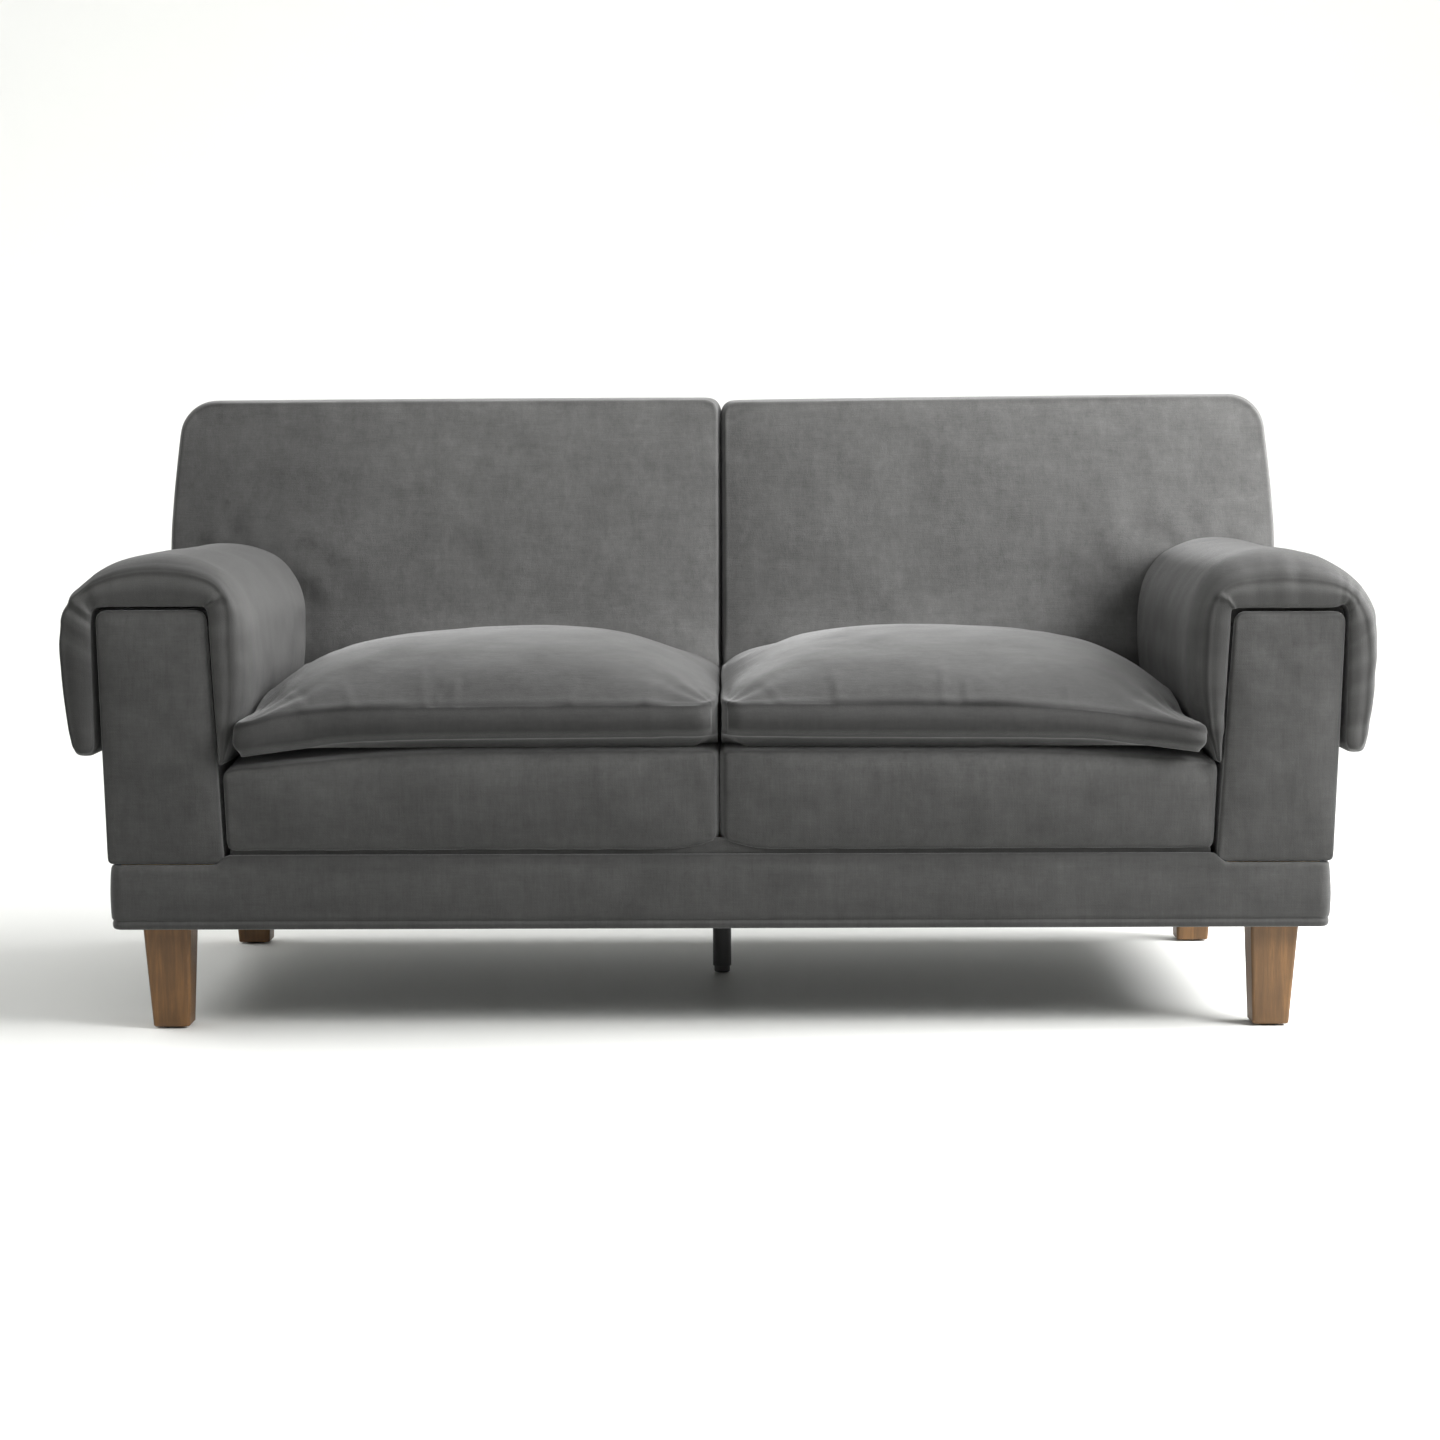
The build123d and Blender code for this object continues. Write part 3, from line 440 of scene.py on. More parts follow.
LOOK = {"leg_wood": WOOD_SHADED, "frame_wood": RAW, "black_metal": BLACK, "steel": STEEL, "black_plastic": PLASTIC, "black_cloth": CLOTH, "upholstery": FAB_ARM}
SLOT_OF = {p["node"]: p["material_slot"] for p in frame["record"]["subparts"]}
for nm, ob in frame["nodes"].items():
    mat = LOOK[SLOT_OF[nm]]
    # painted light: the two right legs get the lighter copy of the wood
    if nm in ("leg_front_right", "leg_rear_right"):
        mat = WOOD_LIT
    if ob.material_slots:
        for sl in ob.material_slots:
            sl.material = mat
    else:
        ob.data.materials.append(mat)

# ------------------------------------------------------------------ camera
CAM_D = (0.0252, -4.1851, 0.7943)
PITCH, YAW, ROLL = 0.0871, -0.0058, -0.0037
cp, sp, cy, sy = math.cos(PITCH), math.sin(PITCH), math.cos(YAW), math.sin(YAW)
fwd = np.array([sy * cp, cy * cp, -sp])
rgt = np.array([cy, -sy, 0.0])
upv = np.cross(rgt, fwd)
cr_, sr_ = math.cos(ROLL), math.sin(ROLL)
rgt, upv = cr_ * rgt + sr_ * upv, -sr_ * rgt + cr_ * upv
cam_data = bpy.data.cameras.new("camera")
cam_data.lens = 77.476
cam_data.sensor_width = 36.0
cam_data.sensor_fit = "HORIZONTAL"
cam_data.clip_end = 100
cam = bpy.data.objects.new("camera", cam_data)
bpy.context.scene.collection.objects.link(cam)
cam.matrix_world = Matrix((
    (rgt[0], upv[0], -fwd[0], CAM_D[0]),
    (rgt[1], upv[1], -fwd[1], CAM_D[1] + Y0),
    (rgt[2], upv[2], -fwd[2], CAM_D[2]),
    (0, 0, 0, 1),
))
bpy.context.scene.camera = cam

# ------------------------------------------------------------------ generic soft box


def round_corner(a, c, ha, hc, radii):
    """Maps points of a rectangle (centred, half sizes ha, hc) so that its corners are rounded.
    radii: (a-, c-), (a+, c-), (a+, c+), (a-, c+)."""
    a, c = a.copy(), c.copy()
    for (sa, sc), r in zip(((-1, -1), (1, -1), (1, 1), (-1, 1)), radii):
        u = (a * sa - (ha - r)) / r
        v = (c * sc - (hc - r)) / r
        inside = (u > 0) & (v > 0)
        if not inside.any():
            continue
        uu, vv = u[inside], v[inside]
        m = np.maximum(uu, vv)
        ln = np.sqrt(uu * uu + vv * vv)
        k = m / np.where(ln < 1e-9, 1, ln)
        a[inside] = sa * (ha - r + r * uu * k)
        c[inside] = sc * (hc - r + r * vv * k)
    return a, c


def soft_block(name, corners, thick0, thick1, axis="y", body="root", mat=None, replace=(), radii=(0.012,) * 4,
               seam_in=0.006, puff=0.006, side_puff=0.003, res=0.007, edge_r=0.012, seed=1.0,
               shape=None, both=False, wrinkle=0.0012, seam_depth=0.0018):
    """Upholstered panel: corners is a quadrilateral (4 x 2) in the plane across the axis, thick0 and thick1 its
    faces along the axis. The face at thick0 is the one seen; it is crowned, with a sewn edge and soft sides."""
    q = np.array(corners, float)
    w = (np.linalg.norm(q[1] - q[0]) + np.linalg.norm(q[2] - q[3])) / 2
    h = (np.linalg.norm(q[3] - q[0]) + np.linalg.norm(q[2] - q[1])) / 2
    t = abs(thick1 - thick0)
    na, nc, nb = (max(6, int(x / res)) for x in (w, h, t))
    nb = max(nb, 4)
    P, F = cube_grid(na, nb, nc, 0.35, 0.2, 0.35)
    a, b, c = P[:, 0], P[:, 1], P[:, 2]
    A, C = round_corner(a * w / 2, c * h / 2, w / 2, h / 2, radii)
    ua, uc = A / (w / 2), C / (h / 2)
    depth = (b + 1) / 2 * t
    # edge distance in the face, and rounding of the front edge
    side = np.maximum(np.abs(a), np.abs(c))
    is_face = np.abs(b) > 0.999
    ef = np.clip(1 - depth / edge_r, 0, 1)
    inset_f = seam_in * ef**2
    er = np.clip(1 - (t - depth) / edge_r, 0, 1)
    inset_r = seam_in * er**2
    inset = inset_f + inset_r
    sp_ = side_puff * np.sin(np.clip(depth / t, 0, 1) * math.pi) * (side > 0.999)
    ka = 1 - (2 * inset - 2 * sp_) / w
    kc = 1 - (2 * inset - 2 * sp_) / h
    ua, uc = ua * ka, uc * kc
    # crown of the face that is seen
    fa = np.clip(1 - np.abs(a) ** 2.6, 0, 1) ** 0.55
    fc = np.clip(1 - np.abs(c) ** 2.6, 0, 1) ** 0.55
    crown = puff * fa * fc
    off = np.where(b < -0.999, crown, 0.0)
    if both:
        off = off - np.where(b > 0.999, crown, 0.0)
    u, v = (ua + 1) / 2, (uc + 1) / 2
    P2 = (
        ((1 - u) * (1 - v))[:, None] * q[0] + (u * (1 - v))[:, None] * q[1]
        + (u * v)[:, None] * q[2] + ((1 - u) * v)[:, None] * q[3]
    )
    sgn = 1 if thick1 > thick0 else -1
    T = thick0 + sgn * (depth - off)
    V = np.zeros((len(P), 3))
    if axis == "y":
        V[:, 0], V[:, 2], V[:, 1] = P2[:, 0], P2[:, 1], T
    elif axis == "x":
        V[:, 1], V[:, 2], V[:, 0] = P2[:, 0], P2[:, 1], T
    else:
        V[:, 0], V[:, 1], V[:, 2] = P2[:, 0], P2[:, 1], T
    F = outward(V, F)
    V = relax(V, F, 2, 0.5)
    N = normals_of(V, F)
    # seam crease along the front edge and soft unevenness
    dist = np.minimum((1 - np.abs(a)) * w / 2, (1 - np.abs(c)) * h / 2)
    near_front = (b < -0.999)
    dist_seam = np.where(near_front, dist, np.where(side > 0.999, depth, 1.0))
    V = V - N * (seam_depth * gauss(dist_seam, 0.0032))[:, None]
    V = V + N * (wrinkle * (vnoise(V, 0.06, seed) + 0.5 * vnoise(V, 0.025, seed + 2)) * smooth(dist_seam, 0, 0.02))[:, None]
    if shape is not None:
        V = shape(V, a, b, c)
    # painted shade: a dark line along the sewn front edge
    ob = mesh_object(name, V, F, mat, body, 1, replace, 0.45 * gauss(dist_seam, 0.0024))
    return ob


def cloth_pass(V, F, name, pressure=4.0, cap=0.022, pin=None, frames=20, keep=1.0):
    """Swells a closed skin under pressure and returns the moved points, each capped."""
    me = bpy.data.meshes.new(name + "_sim")
    me.from_pydata([tuple(p) for p in V], [], [tuple(int(i) for i in q) for q in F])
    me.update()
    ob = bpy.data.objects.new(name + "_sim", me)
    bpy.context.scene.collection.objects.link(ob)
    m = ob.modifiers.new("cloth", "CLOTH")
    st = m.settings
    st.quality = 5
    st.mass = 0.3
    st.tension_stiffness = 15
    st.compression_stiffness = 15
    st.shear_stiffness = 5
    st.bending_stiffness = 0.8
    st.use_pressure = True
    st.uniform_pressure_force = pressure
    st.effector_weights.gravity = 0
    if pin is not None:
        vg = ob.vertex_groups.new(name="pin")
        for i, w in enumerate(pin):
            if w > 0.01:
                vg.add([i], float(w), "REPLACE")
        st.vertex_group_mass = "pin"
    m.collision_settings.use_self_collision = False
    m.collision_settings.use_collision = False
    sc = bpy.context.scene
    m.point_cache.frame_start = 1
    m.point_cache.frame_end = frames + 1
    for fr in range(1, frames + 1):
        sc.frame_set(fr)
    dg = bpy.context.evaluated_depsgraph_get()
    ev = ob.evaluated_get(dg)
    out = np.zeros(len(V) * 3)
    ev.data.vertices.foreach_get("co", out)
    out = out.reshape(-1, 3)
    sc.frame_set(1)
    bpy.data.objects.remove(ob, do_unlink=True)
    bpy.data.meshes.remove(me)
    if not np.isfinite(out).all():
        return V
    d = out - V
    ln = np.linalg.norm(d, axis=1, keepdims=True)
    d = d * np.minimum(1, cap / np.where(ln < 1e-9, 1, ln))
    return V + d * keep


# ------------------------------------------------------------------ loose seat cushions
CROWN_X = [0.0, 0.013, 0.041, 0.075, 0.115, 0.182, 0.27, 0.37, 0.463, 0.535, 0.592, 0.636, 0.67]
CROWN_Z = [0.455, 0.470, 0.492, 0.507, 0.5205, 0.5325, 0.5365, 0.5345, 0.5265, 0.511, 0.486, 0.452, 0.436]


def fold(x, y, x0, y0, ang, length, width):
    """A short fold: a trough with a lip beside it, fading out along its length."""
    ca, sa = math.cos(ang), math.sin(ang)
    u = (x - x0) * ca + (y - y0) * sa
    v = -(x - x0) * sa + (y - y0) * ca
    along_ = np.where(u > 0, np.exp(-((u / length) ** 2)), np.exp(-((u / (0.25 * length)) ** 2)))
    return along_ * (-np.exp(-((v / width) ** 2)) + 0.75 * np.exp(-(((v - 1.5 * width) / width) ** 2)))


def seat_cushion(side, s):
    P, F = cube_grid(104, 90, 16, 0.55, 0.66, 0.5)
    a, b, c = P[:, 0], P[:, 1], P[:, 2]      # a: centre -1 .. arm +1, b: front -1 .. rear +1, c: bottom .. top
    top = (c + 1) / 2
    xin, xout = 0.0030, 0.6350
    w2, d2 = (xout - xin) / 2, 0.279
    A, B = round_corner(a * w2, b * d2, w2, d2, (0.030, 0.030, 0.03, 0.03))
    u = (A / w2 + 1) / 2
    v = (B / d2 + 1) / 2
    x = (xin + xout) / 2 + A
    d = 0.2785 + B
    side_m = np.maximum(np.abs(a), np.abs(b))
    # lower and upper edge of the boxing along the front
    zb = interp(u, [0, 0.05, 0.3, 0.55, 0.78, 0.90, 1.0], [0.409, 0.4072, 0.4055, 0.4045, 0.4010, 0.3910, 0.380])
    zs = interp(u, [0, 0.08, 0.3, 0.6, 0.80, 0.92, 1.0], [0.4490, 0.4495, 0.4497, 0.4485, 0.4450, 0.4380, 0.4160])
    if s > 0:
        zb = zb + 0.003 * smooth(u, 0.5, 1.0)
        zs = interp(u, [0, 0.08, 0.3, 0.6, 0.80, 0.92, 1.0], [0.4490, 0.4512, 0.4512, 0.4485, 0.4405, 0.4280, 0.4095])
    zb = zb - smooth(v, 0.02, 0.16) * (zb - 0.3900)
    base = zs + smooth(v, 0.0, 0.08) * (1 - u) * 0.004 + smooth(v, 0.0, 1.0) * 0.010
    base = base + u**3 * (smooth(v, 0.0, 0.30) * 0.016 + smooth(v, 0.2, 1.0) * 0.026)
    peak = interp(x, CROWN_X, CROWN_Z) + 0.003
    fv = np.clip(1 - np.clip(1 - v / 0.46, 0, 1) ** 2.1, 0, 1) ** 0.66
    fv2 = 1 - 0.34 * smooth(v, 0.52, 1.0)
    z_top = base + np.maximum(peak - base, 0.0) * fv * fv2
    z_bot = zb - (zb - 0.3897) * smooth(1 - side_m, 0.0, 0.12)
    z = np.where(c > 0.999, z_top, np.where(c < -0.999, z_bot, zb + (base - zb) * top))
    wall = (side_m > 0.999) & (np.abs(c) < 0.999)
    bulge = 0.0055 * np.sin(top * math.pi) * wall
    front_w = smooth(-b, 0.9, 1.0)
    d = d - bulge * (b < -0.999)
    # the front edge stands a little proud of the deck, its seam drawn back
    d = d - 0.011 * front_w * smooth(z, 0.470, 0.430)
    d = d + 0.010 * front_w * smooth(z - zb, 0.013, -0.001) ** 1.5
    # outer front corner droops over the deck in front of the arm pad
    cor = smooth(u, 0.88, 1.0) * smooth(-(2 * v - 1), 0.84, 1.0)
    x = x + 0.036 * cor * smooth(z, 0.480, 0.408) - 0.012 * cor * smooth(z, 0.402, 0.381)
    d = d - 0.018 * cor
    # the rear follows the lean of the back
    lim = back_front(z) - 0.004
    d = d + smooth(v, 0.5, 1.0) * (lim - 0.5575)
    V = np.stack([s * x, Y0 + d, z], 1)
    F = outward(V, F)
    V = relax(V, F, 1, 0.5)
    pin = np.where(c < -0.5, 1.0, np.where(side_m > 0.97, 0.9, 0.0))
    W = cloth_pass(V, F, "seat_cushion_" + side, pressure=5.0, cap=0.022, pin=pin)
    lift = W - V
    print("cloth", side, np.abs(lift).max(), lift[c > 0.999, 2].mean())
    # keep the swollen, stretched form of the cloth at the height that the cushion has
    gain = np.maximum(lift[:, 2], 0)
    V = V + lift * 0.7 - np.stack([0 * gain, 0 * gain, 0.7 * 0.85 * gain * (c > 0.999)], 1)
    N = normals_of(V, F)
    on_top = (c > 0.999)
    sx, sy = (x - xin), v * 0.56
    # loose cover: short folds standing on the front seam, fans in the corners, soft dents on the crown
    f1 = noise1(sx * 1.0, 0.017, 3.0 + s) * smooth(noise1(sx, 0.07, 5.0 + s), -0.1, 0.5)
    wr = np.where(on_top, 1.0, 0.5) * f1 * gauss(sy, 0.045) * 0.0030
    rad = np.hypot(xout - x, sy)
    ang = np.arctan2(sy, xout - x + 1e-6)
    wr = wr + on_top * np.sin(ang * 15 + 1.0 + 2 * noise1(rad, 0.05, 2)) * gauss(rad - 0.05, 0.05) * 0.0009
    rad = np.hypot(x - xin, sy)
    ang = np.arctan2(sy, x - xin + 1e-6)
    wr = wr + on_top * np.sin(ang * 13 + 2.0 + 2 * noise1(rad, 0.05, 4)) * gauss(rad - 0.06, 0.055) * 0.0008
    folds = ((0.40, 1.45, 0.055, 0.0052, 0.0032), (0.362, 1.75, 0.040, 0.0045, 0.0028), (0.382, 1.2, 0.030, 0.0035, 0.0020),
             (0.50, 1.2, 0.035, 0.005, 0.0016), (0.565, 1.0, 0.040, 0.0055, 0.0012), (0.20, 1.8, 0.03, 0.005, 0.0016),
             (0.10, 2.1, 0.04, 0.006, 0.0012))
    if s > 0:
        folds = ((0.30, 1.5, 0.045, 0.005, 0.0026), (0.335, 1.7, 0.035, 0.0045, 0.0022), (0.47, 1.25, 0.03, 0.005, 0.0014),
                 (0.565, 0.95, 0.045, 0.006, 0.0012), (0.16, 1.75, 0.04, 0.005, 0.0020), (0.08, 2.1, 0.04, 0.006, 0.0012))
    for x0, an, ln, wd, amp in folds:
        wr = wr + amp * fold(x, sy, x0, 0.004, an, ln, wd) * on_top
    soft = on_top * (0.0030 * vnoise(V, 0.12, 2 + s) + 0.0015 * vnoise(V, 0.05, 4 + s))
    V = V + N * (wr + soft)[:, None]
    # sewn seams along the top and bottom of the boxing
    edge_top = np.where(on_top, np.minimum((1 - np.abs(a)) * w2, (1 - np.abs(b)) * d2), np.where(wall, base - z, 1.0))
    edge_bot = np.where(wall, z - zb, np.where(c < -0.999, (1 - side_m) * 0.3, 1.0))
    V = V - N * (0.0020 * gauss(edge_top, 0.0030) + 0.0008 * gauss(edge_bot, 0.004))[:, None]
    # painted shade: a dark line along the top seam, a faint one just above the bottom seam, a darker front boxing above
    # its lower lip, and a darker crown near both front corners
    painted_shade = (1.05 + 0.25 * noise1(V[:, 0], 0.03, 7)) * gauss(edge_top, 0.0019) + 0.30 * gauss(edge_bot - 0.0125, 0.0025) + 0.35 * wall * (b < -0.9) * smooth(edge_bot, 0.006, 0.014)
    painted_shade = painted_shade + on_top * (0.60 * gauss(np.hypot(xout - x, sy), 0.085) + 0.42 * gauss(np.hypot(x - xin, sy), 0.055))
    ob = mesh_object("seat_cushion_skin_" + side, V, F, FAB_SEAT, "cushion_" + side, 1, ("seat_cushion_" + side,), painted_shade)
    return ob


for side, s in (("left", -1), ("right", 1)):
    seat_cushion(side, s)

# ------------------------------------------------------------------ seat decks
def seat_deck(side, s):
    P, F = cube_grid(96, 40, 26, 0.5, 0.3, 0.5)
    a, b, c = P[:, 0], P[:, 1], P[:, 2]
    hw, hh = 0.3365, 0.0690
    A, C = round_corner(a * hw, c * hh, hw, hh, (0.014, 0.013, 0.018, 0.012))
    u = (A / hw + 1) / 2
    w = (C / hh + 1) / 2
    x = 0.0030 + u * (0.6745 - 0.0030)
    drop = interp(x, [0.0, 0.06, 0.36, 0.44, 0.50, 0.58, 0.63, 0.676], [0.0, -0.001, 0.0, 0.003, 0.0075, 0.015, 0.020, 0.025])
    drop = drop * (1.0 if s < 0 else 0.62)
    zt = 0.3885 - drop * smooth(-b, -0.2, 1.0)
    zb = 0.2485 + 0.010 * gauss(x - 0.002, 0.035)
    z = zb + w * (zt - zb)
    x = x + smooth(u, 0.9, 1.0) * 0.006 * (z - 0.249) / 0.139
    dr = back_front(z) - 0.003
    v = (b + 1) / 2
    d = 0.004 + v * (dr - 0.004)
    front = b < -0.999
    side_m = np.maximum(np.abs(a), np.abs(c))
    ef = np.clip(1 - d / 0.020, 0, 1)
    inset = 0.0085 * ef**2
    x = x - (A / hw) ** 15 * inset
    z = z - np.sign(C) * np.abs(C / hh) ** 7 * inset
    # the gap between the two decks closes behind the rounded front edges
    x = x - np.clip(-A / hw, 0, 1) ** 15 * 0.0027 * smooth(d, 0.0, 0.03)
    fa = np.clip(1 - np.abs(a) ** 3.0, 0, 1) ** 0.6
    fc = np.clip(1 - np.abs(c) ** 2.4, 0, 1) ** 0.6
    d = d - np.where(front, 0.013 * fa * fc - 0.003, 0)
    V = np.stack([s * x, Y0 + d, z], 1)
    F = outward(V, F)
    V = relax(V, F, 2, 0.5)
    N = normals_of(V, F)
    dist = np.minimum((1 - np.abs(a)) * hw, (1 - np.abs(c)) * hh)
    dist = np.where(front, dist, np.where(side_m > 0.999, d - 0.004, 1.0))
    V = V - N * (0.0016 * gauss(dist, 0.0035))[:, None]
    V = V + N * ((0.0016 * vnoise(V, 0.07, 4 + s) + 0.0008 * vnoise(V, 0.03, 5 + s)) * front * smooth(dist, 0, 0.02))[:, None]
    g = noise1(V[:, 0], 0.02, 6 + s) * gauss(dist, 0.02) * front
    V = V + N * (0.0008 * g)[:, None]
    # painted shade: a dark line along the seam round the front face
    ob = mesh_object("seat_deck_skin_" + side, V, F, FAB_DECK, "root", 1, ("seat_deck_" + side,), 0.35 * gauss(dist, 0.0025))


for side, s in (("left", -1), ("right", 1)):
    seat_deck(side, s)

# ------------------------------------------------------------------ arm panels


def lean_in(z):
    return 0.677 + 0.016 * (z - 0.235) / 0.347


def lean_out(z):
    return 0.8365 + 0.0135 * (z - 0.235) / 0.347


for side, s in (("left", -1), ("right", 1)):
    ex = 0.0 if s < 0 else 0.0022
    q = [(s * 0.6728, 0.2300), (s * 0.8385, 0.2300), (s * (0.8490 + ex), 0.5830 - 3 * ex), (s * (0.6930 + ex), 0.5830 - 3 * ex)]
    soft_block("arm_front_skin_" + side, q, Y0 + 0.004, Y0 + 0.0185, "y", "root", FAB_ARM, ("arm_front_panel_" + side,),
               radii=(0.006, 0.006, 0.015, 0.015), seam_in=0.0055, puff=0.0095, side_puff=0.0, edge_r=0.0145,
               seed=6.0 + s, res=0.005, wrinkle=0.0011)
    # outer and inner panels lean with the arm, and end at the back
    for tag, lx, sg in (("outer", lean_out, 1), ("inner", lean_in, -1)):
        rows = 40
        P, F = cube_grid(60, 3, rows, 0.3, 0.0, 0.3)
        a, b, c = P[:, 0], P[:, 1], P[:, 2]
        z = 0.2305 + (c + 1) / 2 * (0.5555 - 0.2305)
        d0 = 0.019
        d1 = back_front(z) - 0.0012
        d = d0 + (a + 1) / 2 * (d1 - d0)
        dist = np.minimum(np.minimum(d - d0, d1 - d), np.minimum(z - 0.2305, 0.5555 - z))
        puff = 0.005 * smooth(dist, 0, 0.05) - 0.002
        xx = lx(z) - sg * 0.002
        depth = (1 - b) / 2 * 0.0115 if sg > 0 else (1 + b) / 2 * 0.0115
        outer_face = b > 0.999 if sg > 0 else b < -0.999
        x = xx - sg * depth + sg * np.where(outer_face, puff * (1.0 if sg > 0 else 0.5), 0)
        V = np.stack([s * x, Y0 + d, z], 1)
        F = outward(V, F)
        V = relax(V, F, 1, 0.5)
        N = normals_of(V, F)
        V = V + N * (0.0012 * vnoise(V, 0.07, 9 + s) * np.where(outer_face, 1, 0))[:, None]
        ob = mesh_object(f"arm_{tag}_skin_{side}", V, F, FAB_ARM, "root", 1, (f"arm_{tag}_panel_{side}",))
    # top padding under the arm pad
    P, F = cube_grid(26, 60, 6, 0.4, 0.2, 0.2)
    a, b, c = P[:, 0], P[:, 1], P[:, 2]
    A, C = round_corner(a * 0.0775, (c * 0.0125), 0.0775, 0.0125, (0.002, 0.002, 0.0115, 0.0115))
    x, z = 0.7705 + A, 0.569 + C
    d = 0.0195 + (b + 1) / 2 * (back_front(z) - 0.003 - 0.0195)
    V = np.stack([s * x, Y0 + d, z], 1)
    F = outward(V, F)
    ob = mesh_object(f"arm_top_skin_{side}", V, F, FAB_ARM, "root", 1, (f"arm_top_padding_{side}",))

# ------------------------------------------------------------------ saddle arm pads
PAD_IN = np.array([
    (681.2, 375), (685.2, 440), (687.8, 485), (690.2, 530), (691.8, 562), (693.6, 577), (700, 584.3), (728, 584.8),
    (770, 584.8), (812, 584.8), (839, 584.6), (849.5, 579), (851.8, 562), (851.9, 520), (851.4, 470), (850.6, 425), (850.0, 392),
]) / 1000.0
PAD_OUT = np.array([
    (671.8, 376), (645.5, 431), (636.5, 485), (636.5, 530), (640.0, 568), (651, 600), (677, 632), (718, 650),
    (766, 655.0), (812, 647), (846, 631), (871, 612), (889, 587), (897.0, 548), (895, 485), (888.5, 430), (881.5, 392),
]) / 1000.0


def along(tab, k):
    """Point at parameter k (0..1) along a control table, smooth."""
    n = len(tab)
    t = np.clip(k, 0, 1) * (n - 1)
    i = np.clip(np.floor(t).astype(int), 0, n - 2)
    f = (t - i)[:, None]
    p0, p1 = tab[np.clip(i - 1, 0, n - 1)], tab[i]
    p2, p3 = tab[i + 1], tab[np.clip(i + 2, 0, n - 1)]
    return 0.5 * (2 * p1 + (p2 - p0) * f + (2 * p0 - 5 * p1 + 4 * p2 - p3) * f**2 + (3 * p1 - p0 - 3 * p2 + p3) * f**3)


def even_param(tab, k):
    """Maps even arc length to the table's parameter."""
    kk = np.linspace(0, 1, 400)
    pts = along(tab, kk)
    ln = np.concatenate([[0], np.cumsum(np.linalg.norm(np.diff(pts, axis=0), axis=1))])
    return np.interp(k * ln[-1], ln, kk), ln[-1]


